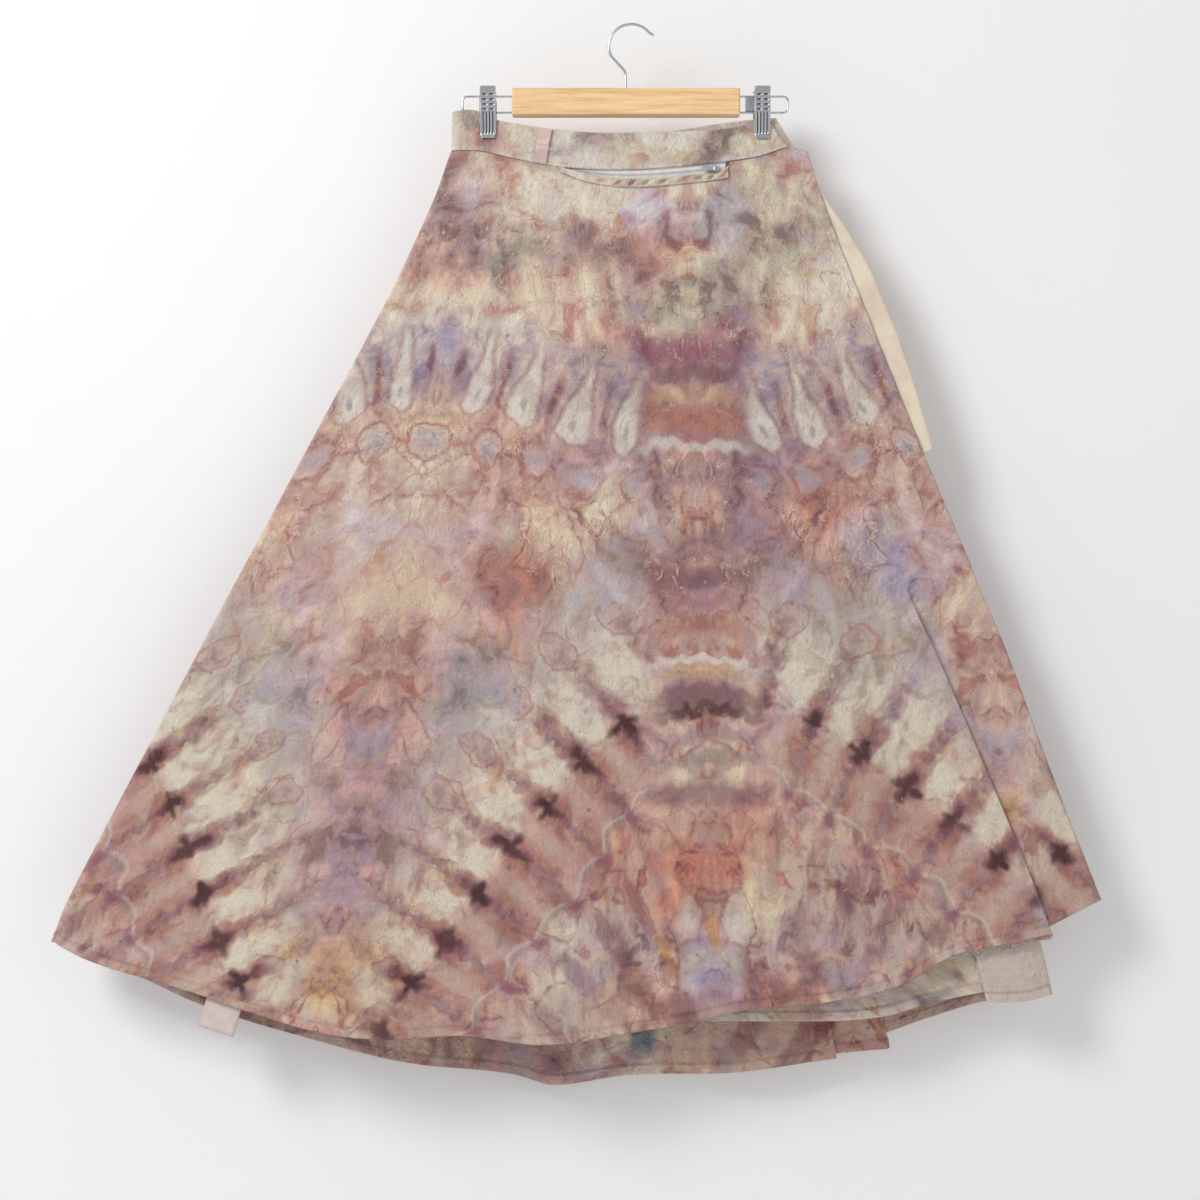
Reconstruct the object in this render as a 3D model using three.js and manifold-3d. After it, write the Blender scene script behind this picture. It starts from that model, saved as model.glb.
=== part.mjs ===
// A long wrap skirt hanging on a clip hanger: millimetres, +Z up, the front faces -Y.
// The origin is the point inside the top of the hanger's hook.
import * as THREE from "three";
import { mergeVertices } from "three/addons/utils/BufferGeometryUtils.js";
import Module from "manifold-3d";

const wasm = await Module();
wasm.setup();

// ---- driving dimensions ----
const SEAM_GAP = 0.3;
const TOP_GAP = 0.5;
const CLOTH = 1.4;
const BAND_CLOTH = 2.0;
const TIE_CLOTH = 1.6;
const HEM_TURN = 9;
const HEM_CLOTH = 2.0;
const WAIST_Z = -145;
const SKIRT_LENGTH = 970;
const LAYER = 3.0;
const BAND_GAPE = 3.5;
const FRONT_BULGE = 38;
const BACK_BULGE = 26;
const TIE_WIDTH = 42;
const LEFT_TIE_WIDTH = 39;
const TIE_ROOM = 0.8;
const FLUTE_RADIUS = 1.6;
const CLIP_LEFT_X = -153.1;
const CLIP_RIGHT_X = 139.5;
const CLIP_WIDTH = 17;
const CLIP_TOP = -67.5;
const CLIP_BOTTOM = -121.7;
const BAR = { left: -127.5, right: 116, top: -68.3, bottom: -97.3, depth: 18 };
const LOOP = { left: -180.5, right: 167.5, top: -76, bottom: -94.2, wire: 2.2, bend: 5 };
const HOOK = { wire: 3, radius: 24, stemX: -6.1, mouth: 38, neck: 205, bead: 2.2 };

// ---- outlines, each a row for each turn of the line ----
// The left side, where the front and the back are folded against each other.
const LEFT_SIDE = [
  { z: -133, x: -192 },
  { z: -187, x: -211 },
  { z: -294, x: -261 },
  { z: -465, x: -352 },
  { z: -722, x: -489 },
  { z: -936, x: -600 },
  { z: -984, x: -618 },
];
// The right side of the tube, where the under wrap turns into the back.
const RIGHT_SIDE = [
  { z: -100, x: 154 },
  { z: -134, x: 178 },
  { z: -173, x: 185 },
  { z: -294, x: 223 },
  { z: -600, x: 319 },
  { z: -980, x: 436 },
  { z: -1045, x: 451 },
];
// The free edge of the front wrap, which overhangs the tube on the right.
const FREE_EDGE = [
  { z: -135, x: 188 },
  { z: -175, x: 200 },
  { z: -233, x: 221 },
  { z: -294, x: 245 },
  { z: -465, x: 314 },
  { z: -658, x: 395 },
  { z: -786, x: 442 },
  { z: -936, x: 501 },
];
// How far the right tie shows past the free edge.
const TIE_OVERHANG = [
  { z: -152, x: -7 },
  { z: -196, x: 2 },
  { z: -247, x: 17 },
  { z: -310, x: 21 },
  { z: -379, x: 19 },
  { z: -463, x: 9 },
];
// The edge of the one deep flute in the front wrap. Above -584 it is only a line in flat cloth.
const FLUTE_EDGE = [
  { z: -135, x: 118 },
  { z: -584, x: 282 },
  { z: -681, x: 327 },
  { z: -792, x: 374 },
  { z: -914, x: 424 },
  { z: -975, x: 446 },
];
const FRONT_HEM = [
  { x: -618, z: -975 },
  { x: -563, z: -1001 },
  { x: -457, z: -1031 },
  { x: -333, z: -1066 },
  { x: -256, z: -1074 },
  { x: -176, z: -1071 },
  { x: -92, z: -1077 },
  { x: 28, z: -1063 },
  { x: 120, z: -1044 },
  { x: 207, z: -1036 },
  { x: 284, z: -1021 },
  { x: 345, z: -990 },
  { x: 404, z: -977 },
  { x: 446, z: -968 },
];
const FRONT_HEM_PAST_FLUTE = [
  { x: 404, z: -984 },
  { x: 446, z: -961 },
  { x: 501, z: -934 },
];
const UNDER_HEM = [
  { x: -130, z: -1052 },
  { x: 54, z: -1058 },
  { x: 194, z: -1060 },
  { x: 269, z: -1057 },
  { x: 325, z: -1044 },
  { x: 416, z: -1024 },
];
const UNDER_CORNER_HEM = [
  { x: 380, z: -1042 },
  { x: 416, z: -1041 },
  { x: 450, z: -1034 },
];
const BACK_HEM = [
  { x: -618, z: -980 },
  { x: -561, z: -1006 },
  { x: -459, z: -1052 },
  { x: -346, z: -1092 },
  { x: -245, z: -1115 },
  { x: -130, z: -1129 },
  { x: -85, z: -1141 },
  { x: -11, z: -1132 },
  { x: 109, z: -1125 },
  { x: 221, z: -1112 },
];
const BACK_HEM_MIDDLE = [
  { x: 196, z: -1110 },
  { x: 221, z: -1108 },
  { x: 278, z: -1101 },
];
const BACK_HEM_RIGHT = [
  { x: 205, z: -1092 },
  { x: 269, z: -1087 },
  { x: 316, z: -1069 },
  { x: 380, z: -1048 },
  { x: 450, z: -1036 },
];
// The two flutes behind, from the left: where each edge lies at the hem and how far it laps.
const BACK_FLUTES = [
  { x: 221, topX: 60, apexZ: -800, lap: 25 },
  { x: 278, topX: 92, apexZ: -760, lap: 73 },
];
const UNDER_FLUTE = { x: 380, topX: 150, apexZ: -830, lap: 36 };

// ---- outlines of the waist ----
const BAND_TOP = [
  { x: -191, z: -92.5 },
  { x: -168, z: -91.5 },
  { x: -143, z: -102 },
  { x: -85, z: -112.4 },
  { x: -34, z: -117 },
  { x: 39, z: -115.6 },
  { x: 93, z: -112.9 },
  { x: 131, z: -106.4 },
  { x: 149, z: -106 },
];
const BAND_BOTTOM = [
  { x: -191, z: -134.2 },
  { x: -163, z: -134.7 },
  { x: -123, z: -143.6 },
  { x: -90, z: -151.1 },
  { x: -48, z: -155.5 },
  { x: 9, z: -155.7 },
  { x: 72, z: -150.2 },
  { x: 134, z: -141 },
  { x: 168, z: -131 },
  { x: 188, z: -135 },
];
const INNER_BAND_TOP = [
  { x: -191, z: -95 },
  { x: -153, z: -101 },
  { x: -85, z: -116 },
  { x: -34, z: -121 },
  { x: 39, z: -114.5 },
  { x: 93, z: -105.6 },
  { x: 129, z: -101 },
  { x: 154, z: -99.5 },
];
const INNER_BAND_BOTTOM = [
  { x: -191, z: -136 },
  { x: -140, z: -142 },
  { x: -87, z: -152 },
  { x: -34, z: -157 },
  { x: 73, z: -152.5 },
  { x: 140, z: -142 },
  { x: 178, z: -137 },
];
const ZIP_LOWER_EDGE = [
  { x: -78, z: -153 },
  { x: -43, z: -162 },
  { x: -16, z: -166 },
  { x: 25, z: -165.5 },
  { x: 73, z: -161 },
  { x: 95, z: -158.5 },
  { x: 104, z: -150 },
];
const LIP_LOWER_EDGE = [
  { x: -78, z: -157.5 },
  { x: -50, z: -169 },
  { x: -16, z: -174.8 },
  { x: 11, z: -175.5 },
  { x: 73, z: -169.4 },
  { x: 104, z: -164.5 },
];
const ZIP = { left: -72, right: 101, tape: 1.0, behind: 1.9, tuck: 2.5, lip: 1.4 };
const LOOP_STRAP = { topX: -91.4, bottomX: -97.8, width: 13.5, cloth: 1.4 };
const SLIDER = { x: 88.5, z: -154.8, length: 9, height: 6, depth: 2, pin: 0.6 };
const PULL = { length: 13, height: 5, plate: 0.9, barrel: 1.5, bore: 0.95, rest: 8 };

// ---- materials ----
function finish(name, colour, roughness, metalness = 0) {
  return new THREE.MeshStandardMaterial({ name, color: colour, roughness, metalness });
}
const dyed = () => finish("dyed_cotton", 0xc9a5a0, 0.9);
const cream = () => finish("cream_cotton", 0xe4d6c2, 0.9);
const tape = () => finish("zip_tape", 0xe6e2dc, 0.75);
const nickel = () => finish("nickel", 0xb9bbbd, 0.3, 1);
const steel = () => finish("chromed_wire", 0xaeb2b6, 0.22, 1);
const pine = () => finish("pale_pine", 0xe3b57c, 0.55);

// ---- shape helpers ----
const lerp = (a, b, f) => a + (b - a) * f;
const clamp = (v, lo = 0, hi = 1) => Math.min(hi, Math.max(lo, v));
const ease = (v) => {
  const f = clamp(v);
  return f * f * (3 - 2 * f);
};

// The value of a table's second column at `at` in its first, on a smooth line through its rows.
function along(table, from, to, at) {
  const rising = table[1][from] > table[0][from];
  let i = 0;
  while (i < table.length - 2 && (rising ? at > table[i + 1][from] : at < table[i + 1][from])) {
    i += 1;
  }
  const slope = (k) => {
    const a = table[Math.max(0, k - 1)];
    const b = table[Math.min(table.length - 1, k + 1)];
    return (b[to] - a[to]) / (b[from] - a[from]);
  };
  const [p, q] = [table[i], table[i + 1]];
  const span = q[from] - p[from];
  const f = clamp((at - p[from]) / span);
  const f2 = f * f;
  const f3 = f2 * f;
  return (
    (2 * f3 - 3 * f2 + 1) * p[to] +
    (f3 - 2 * f2 + f) * span * slope(i) +
    (3 * f2 - 2 * f3) * q[to] +
    (f3 - f2) * span * slope(i + 1)
  );
}
const heightOf = (table, x) => along(table, "x", "z", x);
const placeOf = (table, z) => along(table, "z", "x", z);

// A closed body from a list of points and faces, turned so that its faces look out.
function body(points, faces) {
  let volume = 0;
  for (const [a, b, c] of faces) {
    volume += points[a].dot(new THREE.Vector3().crossVectors(points[b], points[c]));
  }
  const outward = volume > 0 ? faces : faces.map(([a, b, c]) => [a, c, b]);
  const geometry = new THREE.BufferGeometry().setFromPoints(points);
  geometry.setIndex(outward.flat());
  return geometry;
}

// A cloth wall on a grid of points: `rows` is a list of rows of points, `thick` its thickness by row.
function wall(rows, thick) {
  const high = rows.length;
  const wide = rows[0].length;
  const at = (i, j) => rows[clamp(i, 0, high - 1)][clamp(j, 0, wide - 1)];
  const front = [];
  const back = [];
  for (let i = 0; i < high; i += 1) {
    for (let j = 0; j < wide; j += 1) {
      const across = at(i, j + 1).clone().sub(at(i, j - 1));
      const down = at(i + 1, j).clone().sub(at(i - 1, j));
      const out = across.cross(down).normalize();
      const half = (typeof thick === "number" ? thick : thick(i)) / 2;
      front.push(rows[i][j].clone().addScaledVector(out, half));
      back.push(rows[i][j].clone().addScaledVector(out, -half));
    }
  }
  const shift = front.length;
  const faces = [];
  const quad = (a, b, c, d) => faces.push([a, b, c], [a, c, d]);
  const id = (i, j) => i * wide + j;
  for (let i = 0; i < high - 1; i += 1) {
    for (let j = 0; j < wide - 1; j += 1) {
      quad(id(i, j), id(i + 1, j), id(i + 1, j + 1), id(i, j + 1));
      const [a, b] = [id(i, j) + shift, id(i, j + 1) + shift];
      const [c, d] = [id(i + 1, j + 1) + shift, id(i + 1, j) + shift];
      faces.push([a, b, c], [a, c, d]);
    }
  }
  for (let j = 0; j < wide - 1; j += 1) {
    quad(id(0, j), id(0, j + 1), id(0, j + 1) + shift, id(0, j) + shift);
    quad(id(high - 1, j + 1), id(high - 1, j), id(high - 1, j) + shift, id(high - 1, j + 1) + shift);
  }
  for (let i = 0; i < high - 1; i += 1) {
    quad(id(i + 1, 0), id(i, 0), id(i, 0) + shift, id(i + 1, 0) + shift);
    quad(id(i, wide - 1), id(i + 1, wide - 1), id(i + 1, wide - 1) + shift, id(i, wide - 1) + shift);
  }
  return body([...front, ...back], faces);
}

// A round wire along a list of points that lie in the plane y = 0.
function wire(points, radius, sides, closed = false) {
  const count = points.length;
  const rings = points.map((point, i) => {
    const before = points[closed ? (i + count - 1) % count : Math.max(0, i - 1)];
    const after = points[closed ? (i + 1) % count : Math.min(count - 1, i + 1)];
    const run = after.clone().sub(before).normalize();
    const side = new THREE.Vector3(-run.z, 0, run.x);
    return Array.from({ length: sides }, (_, k) => {
      const turn = (2 * Math.PI * k) / sides;
      return point
        .clone()
        .addScaledVector(side, radius * Math.cos(turn))
        .add(new THREE.Vector3(0, radius * Math.sin(turn), 0));
    });
  });
  const all = rings.flat();
  const faces = [];
  for (let i = 0; i < (closed ? count : count - 1); i += 1) {
    for (let k = 0; k < sides; k += 1) {
      const a = i * sides + k;
      const b = i * sides + ((k + 1) % sides);
      const c = ((i + 1) % count) * sides + ((k + 1) % sides);
      const d = ((i + 1) % count) * sides + k;
      faces.push([a, b, c], [a, c, d]);
    }
  }
  if (!closed) {
    const last = (count - 1) * sides;
    for (let k = 1; k < sides - 1; k += 1) {
      faces.push([0, k + 1, k], [last, last + k, last + k + 1]);
    }
  }
  return body(all, faces);
}

function solidOf(geometry) {
  const plain = geometry.clone();
  plain.deleteAttribute("normal");
  plain.deleteAttribute("uv");
  const welded = mergeVertices(plain, 1e-4);
  const mesh = new wasm.Mesh({
    numProp: 3,
    vertProperties: new Float32Array(welded.attributes.position.array),
    triVerts: new Uint32Array(welded.index.array),
  });
  return new wasm.Manifold(mesh);
}

function geometryOf(solid) {
  const mesh = solid.getMesh();
  const geometry = new THREE.BufferGeometry();
  geometry.setAttribute("position", new THREE.BufferAttribute(new Float32Array(mesh.vertProperties), 3));
  geometry.setIndex(new THREE.BufferAttribute(new Uint32Array(mesh.triVerts), 1));
  return geometry;
}

function block(x0, x1, y0, y1, z0, z1) {
  const box = new THREE.BoxGeometry(x1 - x0, y1 - y0, z1 - z0);
  return box.translate((x0 + x1) / 2, (y0 + y1) / 2, (z0 + z1) / 2);
}

const group = new THREE.Group();
function piece(name, geometry, material) {
  const mesh = new THREE.Mesh(geometry, material);
  mesh.name = name;
  group.add(mesh);
}

// ---- how the layers lie in depth ----
// 0 at the waist seam, 1 at the lowest hem.
const drop = (z) => clamp((WAIST_Z - z) / SKIRT_LENGTH);
// 0 at both clips and past them, 1 midway between.
const between = (x) => {
  const f = clamp((x - CLIP_LEFT_X - 14) / (CLIP_RIGHT_X - CLIP_LEFT_X - 28));
  return Math.sin(Math.PI * f) ** 0.8;
};
// 0 on both side folds, 1 midway between.
const across = (x, z) => {
  const left = placeOf(LEFT_SIDE, z);
  const right = placeOf(RIGHT_SIDE, z);
  return Math.sin(Math.PI * clamp((x - left) / (right - left)));
};
const frontWave = (x, z) =>
  drop(z) ** 1.8 * (6 * Math.sin(x / 41 + 0.5) + 3.5 * Math.sin(x / 27 + 2));
const backWave = (x, z) =>
  drop(z) ** 1.8 * (5 * Math.sin(x / 47 + 2.4) + 3.5 * Math.sin(x / 30 + 0.7));

function underDepth(x, z) {
  const d = drop(z);
  const gape = BAND_GAPE * between(x) * (1 - d) ** 3;
  return -6 * d - gape - FRONT_BULGE * d ** 1.1 * across(x, z) + frontWave(x, z);
}
function frontDepth(x, z) {
  const d = drop(z);
  const slack = BAND_GAPE * between(x) * (1 - d) ** 3;
  const room = 1.6 * ease((WAIST_Z + 4 - z) / 18);
  return underDepth(x, z) - LAYER - slack - room - 12 * d;
}
function backDepth(x, z) {
  const d = drop(z);
  const gape = 2 * BAND_GAPE * between(x) * (1 - d) ** 3;
  return LAYER + 5 * d + gape + BACK_BULGE * d * across(x, z) + backWave(x, z);
}

// A quarter turn of cloth from a side seam to the layer `depth`: `toward` is the way in along X
// and `away` the layer's side of the seam. It leaves the seam straight, so that the two panels'
// edges lie flat against each other.
function sideTurn(seam, toward, away, depth) {
  const reach = toward * seam.reach;
  const seamY = seam.y + (away * SEAM_GAP) / 2;
  const inner = depth(seam.x + reach, seam.z);
  const straight = 0.3;
  const turnSteps = 3;
  const points = [new THREE.Vector3(seam.x, seamY, seam.z)];
  for (let k = 0; k < turnSteps; k += 1) {
    const turn = (Math.PI / 2) * (k / turnSteps);
    const x = seam.x + reach * (1 - Math.cos(turn));
    const y = lerp(seamY, inner, straight + (1 - straight) * Math.sin(turn));
    points.push(new THREE.Vector3(x, y, seam.z));
  }
  return points;
}

// The section of one flute: two turns and the short lap between them, as steps in x and y.
// `open` goes from 0, flat cloth, to 1, lapped right back on itself.
function flute(open, lap, heading) {
  const turnSteps = 4;
  const bend = Math.PI * open;
  const stride = (Math.PI * FLUTE_RADIUS) / turnSteps;
  const steps = [];
  let angle = 0;
  for (let k = 0; k < turnSteps; k += 1) {
    steps.push({ length: stride, angle: angle + bend / turnSteps / 2 });
    angle += bend / turnSteps;
  }
  steps.push({ length: lap / 2, angle }, { length: lap / 2, angle });
  for (let k = 0; k < turnSteps; k += 1) {
    steps.push({ length: stride, angle: angle - bend / turnSteps / 2 });
    angle -= bend / turnSteps;
  }
  let x = 0;
  let y = 0;
  return steps.map((step) => {
    x += heading * step.length * Math.cos(step.angle);
    y += step.length * Math.sin(step.angle);
    return { x, y };
  });
}
const fluteOpen = (z, apexZ) => ease((apexZ - z) / 90);
const fluteLap = (z, apexZ, hemZ, lap) => lerp(2.5, lap, clamp((apexZ - z) / (apexZ - hemZ)) ** 1.5);

// Rows down a panel, with the last one a hem's turn above the edge. All panels share them, so
// that two panels' edges match along a side seam.
const ROW_COUNT = 17;
const HEM_ROW = 1 - HEM_TURN / (SKIRT_LENGTH * 0.9);
const ROWS_DOWN = [...Array.from({ length: ROW_COUNT }, (_, i) => (HEM_ROW * i) / (ROW_COUNT - 1)), 1];
const hemmed = (i) => (i >= ROW_COUNT - 1 ? HEM_CLOTH : CLOTH);

// A row's point on the left seam, between front and back, and on the right, between under and back.
function leftSeam(t) {
  const z = lerp(-136.5, -977, t);
  const x = placeOf(LEFT_SIDE, z);
  return { x, z, y: (frontDepth(x, z) + backDepth(x, z)) / 2, reach: lerp(3, 9, t) };
}
function rightSeam(t) {
  const z = lerp(-138.5, -1035, t);
  const x = placeOf(RIGHT_SIDE, z);
  return { x, z, y: (underDepth(x, z) + backDepth(x, z)) / 2, reach: lerp(2, 8, t) };
}

// ---- the skirt ----
// The front panel's top edge drops round the zip and is the band's seam elsewhere.
function frontTop(x) {
  const seam = heightOf(BAND_BOTTOM, x) - TOP_GAP;
  const zipped = x > ZIP.left && x < ZIP.right;
  return zipped ? Math.min(seam, heightOf(ZIP_LOWER_EDGE, x)) : seam;
}

function frontPanel() {
  const mainColumns = 22;
  const pastColumns = 4;
  const hemEnd = FRONT_HEM.at(-1);
  const topOf = (x) => frontTop(x);
  const rows = ROWS_DOWN.map((t) => {
    const seam = leftSeam(t);
    const line = sideTurn(seam, 1, -1, frontDepth);
    const edgeZ = lerp(topOf(FLUTE_EDGE[0].x), hemEnd.z, t);
    const edge = placeOf(FLUTE_EDGE, edgeZ);
    for (let k = 0; k <= mainColumns; k += 1) {
      const f = k / mainColumns;
      const topX = lerp(-189, FLUTE_EDGE[0].x, f);
      const hemX = lerp(-609, hemEnd.x, f);
      const z = lerp(topOf(topX), heightOf(FRONT_HEM, hemX), t);
      const x = lerp(seam.x + seam.reach, edge, f);
      line.push(new THREE.Vector3(x, frontDepth(x, z), z));
    }
    const open = fluteOpen(edgeZ, -584);
    const lap = fluteLap(edgeZ, -584, -975, 44);
    const folds = flute(open, lap, 1);
    const pastZ = lerp(topOf(FLUTE_EDGE[0].x + 14), FRONT_HEM_PAST_FLUTE[0].z, t);
    folds.forEach((p, k) => {
      const z = lerp(edgeZ, pastZ, (k + 1) / folds.length);
      line.push(new THREE.Vector3(edge + p.x, frontDepth(edge + p.x, z) + p.y, z));
    });
    const start = folds.at(-1);
    const freeZ = lerp(topOf(188), FREE_EDGE.at(-1).z + 2, t);
    const free = placeOf(FREE_EDGE, freeZ);
    for (let k = 1; k <= pastColumns; k += 1) {
      const f = k / pastColumns;
      const topX = lerp(FLUTE_EDGE[0].x + 14, 188, f);
      const hemX = lerp(FRONT_HEM_PAST_FLUTE[0].x, FRONT_HEM_PAST_FLUTE.at(-1).x, f);
      const z = lerp(topOf(topX), heightOf(FRONT_HEM_PAST_FLUTE, hemX), t);
      const x = lerp(edge + start.x, free, f);
      line.push(new THREE.Vector3(x, frontDepth(x, z) + start.y, z));
    }
    return line;
  });
  piece("front_wrap_panel", wall(rows, hemmed), dyed());
}

function backPanel() {
  const spans = [15, 3, 6];
  const topOf = (x) => heightOf(INNER_BAND_BOTTOM, x) - TOP_GAP;
  const hems = [BACK_HEM, BACK_HEM_MIDDLE, BACK_HEM_RIGHT];
  const rows = ROWS_DOWN.map((t) => {
    const left = leftSeam(t);
    const right = rightSeam(t);
    const line = sideTurn(left, 1, 1, backDepth);
    let from = left.x + left.reach;
    let topFrom = -189;
    let behind = 0;
    spans.forEach((columns, n) => {
      const fold = BACK_FLUTES[n];
      const hem = hems[n];
      const hemTo = hem.at(-1);
      const topTo = fold ? fold.topX : 176;
      const toZ = lerp(topOf(topTo), hemTo.z, t);
      const to = fold ? lerp(fold.topX, fold.x, t) : right.x - right.reach;
      for (let k = n === 0 ? 0 : 1; k <= columns; k += 1) {
        const f = k / columns;
        const hemX = lerp(n === 0 ? hem[0].x + 9 : hem[0].x, hemTo.x, f);
        const z = lerp(topOf(lerp(topFrom, topTo, f)), heightOf(hem, hemX), t);
        const x = lerp(from, to, f);
        const fade = fold ? 1 : 1 - ease(f);
        line.push(new THREE.Vector3(x, backDepth(x, z) + behind * fade, z));
      }
      if (!fold) {
        return;
      }
      const steps = flute(fluteOpen(toZ, fold.apexZ), fluteLap(toZ, fold.apexZ, hemTo.z, fold.lap), 1);
      const nextZ = lerp(topOf(fold.topX + 14), hems[n + 1][0].z, t);
      steps.forEach((p, k) => {
        const z = lerp(toZ, nextZ, (k + 1) / steps.length);
        line.push(new THREE.Vector3(to + p.x, backDepth(to + p.x, z) + behind + p.y, z));
      });
      from = to + steps.at(-1).x;
      topFrom = fold.topX + 14;
      behind += steps.at(-1).y;
    });
    return [...line, ...sideTurn(right, -1, 1, backDepth).reverse()];
  });
  piece("back_panel", wall(rows, hemmed), dyed());
}

function underPanel() {
  const cornerColumns = 3;
  const mainColumns = 14;
  const fold = UNDER_FLUTE;
  const topOf = (x) => heightOf(INNER_BAND_BOTTOM, x) - TOP_GAP;
  const rows = ROWS_DOWN.map((t) => {
    const seam = rightSeam(t);
    const line = sideTurn(seam, -1, -1, underDepth);
    const edgeZ = lerp(topOf(fold.topX), UNDER_CORNER_HEM[0].z, t);
    const edge = lerp(fold.topX, fold.x, t);
    for (let k = 0; k <= cornerColumns; k += 1) {
      const f = k / cornerColumns;
      const z = lerp(topOf(lerp(176, fold.topX, f)), heightOf(UNDER_CORNER_HEM, lerp(441, fold.x, f)), t);
      const x = lerp(seam.x - seam.reach, edge, f);
      line.push(new THREE.Vector3(x, underDepth(x, z), z));
    }
    const steps = flute(fluteOpen(edgeZ, fold.apexZ), fluteLap(edgeZ, fold.apexZ, -1045, fold.lap), -1);
    const nextZ = lerp(topOf(fold.topX - 14), UNDER_HEM.at(-1).z, t);
    steps.forEach((p, k) => {
      const z = lerp(edgeZ, nextZ, (k + 1) / steps.length);
      line.push(new THREE.Vector3(edge + p.x, underDepth(edge + p.x, z) + p.y, z));
    });
    const start = edge + steps.at(-1).x;
    const free = lerp(-166, -130, t);
    for (let k = 1; k <= mainColumns; k += 1) {
      const f = k / mainColumns;
      const topX = lerp(fold.topX - 14, -166, f);
      const hemX = lerp(UNDER_HEM.at(-1).x, -130, f);
      const z = lerp(topOf(topX), heightOf(UNDER_HEM, hemX), t);
      const x = lerp(start, free, f);
      line.push(new THREE.Vector3(x, underDepth(x, z) + steps.at(-1).y, z));
    }
    return line;
  });
  piece("under_wrap_panel", wall(rows, hemmed), dyed());
}

// The waistband is one long doubled strip: inner end, right fold, back, left fold, front end.
function waistband() {
  const rowCount = 4;
  const line = (t) => {
    const points = [];
    const put = (x, y, top, bottom) => {
      const z = lerp(heightOf(top, x), heightOf(bottom, x), t);
      points.push(new THREE.Vector3(x, y, z));
    };
    const right = lerp(154, 178, t);
    const left = lerp(-190.5, -192, t);
    const end = lerp(149, 168, t);
    const layerColumns = 20;
    const foldSteps = 6;
    const inner = (x) => underDepth(x, WAIST_Z);
    const rear = (x) => backDepth(x, WAIST_Z);
    const outer = (x) => frontDepth(x, WAIST_Z + 4);
    for (let k = 0; k <= layerColumns; k += 1) {
      const x = lerp(-166, right - 2, k / layerColumns);
      put(x, inner(x), INNER_BAND_TOP, INNER_BAND_BOTTOM);
    }
    for (let k = 1; k < foldSteps; k += 1) {
      const turn = Math.PI * (k / foldSteps);
      const x = right - 2 + 2 * Math.sin(turn);
      put(x, lerp(inner(right), rear(right), (1 - Math.cos(turn)) / 2), INNER_BAND_TOP, INNER_BAND_BOTTOM);
    }
    for (let k = 0; k <= layerColumns; k += 1) {
      const x = lerp(right - 2, left + 3, k / layerColumns);
      put(x, rear(x), INNER_BAND_TOP, INNER_BAND_BOTTOM);
    }
    for (let k = 1; k < foldSteps; k += 1) {
      const turn = Math.PI * (k / foldSteps);
      const x = left + 3 - 3 * Math.sin(turn);
      const y = lerp(rear(left), outer(left), (1 - Math.cos(turn)) / 2);
      const f = k / foldSteps;
      const top = lerp(heightOf(INNER_BAND_TOP, x), heightOf(BAND_TOP, x), f);
      const bottom = lerp(heightOf(INNER_BAND_BOTTOM, x), heightOf(BAND_BOTTOM, x), f);
      points.push(new THREE.Vector3(x, y, lerp(top, bottom, t)));
    }
    for (let k = 0; k <= layerColumns; k += 1) {
      const x = lerp(left + 3, end, k / layerColumns);
      put(x, outer(x), BAND_TOP, BAND_BOTTOM);
    }
    return points;
  };
  const rows = Array.from({ length: rowCount }, (_, i) => line(i / (rowCount - 1)));
  piece("waistband", wall(rows, BAND_CLOTH), dyed());
}

// A narrow strap over the band, buckled outwards once where the cloth was pinched.
function beltLoop() {
  const rowCount = 12;
  const face = BAND_CLOTH / 2 + SEAM_GAP + LOOP_STRAP.cloth / 2;
  const rows = Array.from({ length: rowCount + 1 }, (_, i) => {
    const t = i / rowCount;
    const middle = lerp(LOOP_STRAP.topX, LOOP_STRAP.bottomX, t);
    const buckle = 2.4 * Math.exp(-(((t - 0.42) / 0.12) ** 2));
    return [-0.5, 0, 0.5].map((side) => {
      const x = middle + side * LOOP_STRAP.width;
      const z = lerp(heightOf(BAND_TOP, x) - 0.5, heightOf(BAND_BOTTOM, x) + 0.5, t);
      return new THREE.Vector3(x, frontDepth(x, WAIST_Z + 4) - face - buckle, z);
    });
  });
  piece("belt_loop", wall(rows, LOOP_STRAP.cloth), cream());
}

// The tie of the front wrap hangs behind its free edge.
function rightTie() {
  const count = 16;
  const rows = Array.from({ length: count + 1 }, (_, i) => {
    const t = i / count;
    const z = lerp(-152, -463, t);
    const middle = placeOf(FREE_EDGE, z) + placeOf(TIE_OVERHANG, z) - TIE_WIDTH / 2;
    const slope = (placeOf(FREE_EDGE, z - 10) - placeOf(FREE_EDGE, z + 10)) / 20;
    return [-0.5, 0, 0.5].map((side) => {
      const x = middle + side * TIE_WIDTH;
      const y = frontDepth(x, z) + CLOTH / 2 + TIE_CLOTH / 2 + TIE_ROOM;
      return new THREE.Vector3(x, y, z + side * TIE_WIDTH * slope);
    });
  });
  piece("right_tie", wall(rows, TIE_CLOTH), cream());
}

// The long tie of the under wrap hangs inside the left half and shows below the front's hem.
function leftTie() {
  const count = 22;
  const rows = Array.from({ length: count + 1 }, (_, i) => {
    const t = i / count;
    const x0 = lerp(-169, -439, t);
    const z0 = lerp(-150, -1070, t);
    return [-0.5, 0, 0.5].map((side) => {
      const x = x0 + side * LEFT_TIE_WIDTH * 0.96;
      const z = z0 - side * LEFT_TIE_WIDTH * 0.27;
      const y = frontDepth(x, z) + CLOTH / 2 + TIE_CLOTH / 2 + lerp(TIE_ROOM, 6, t);
      return new THREE.Vector3(x, y, z);
    });
  });
  piece("left_tie", wall(rows, TIE_CLOTH), cream());
}

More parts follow.
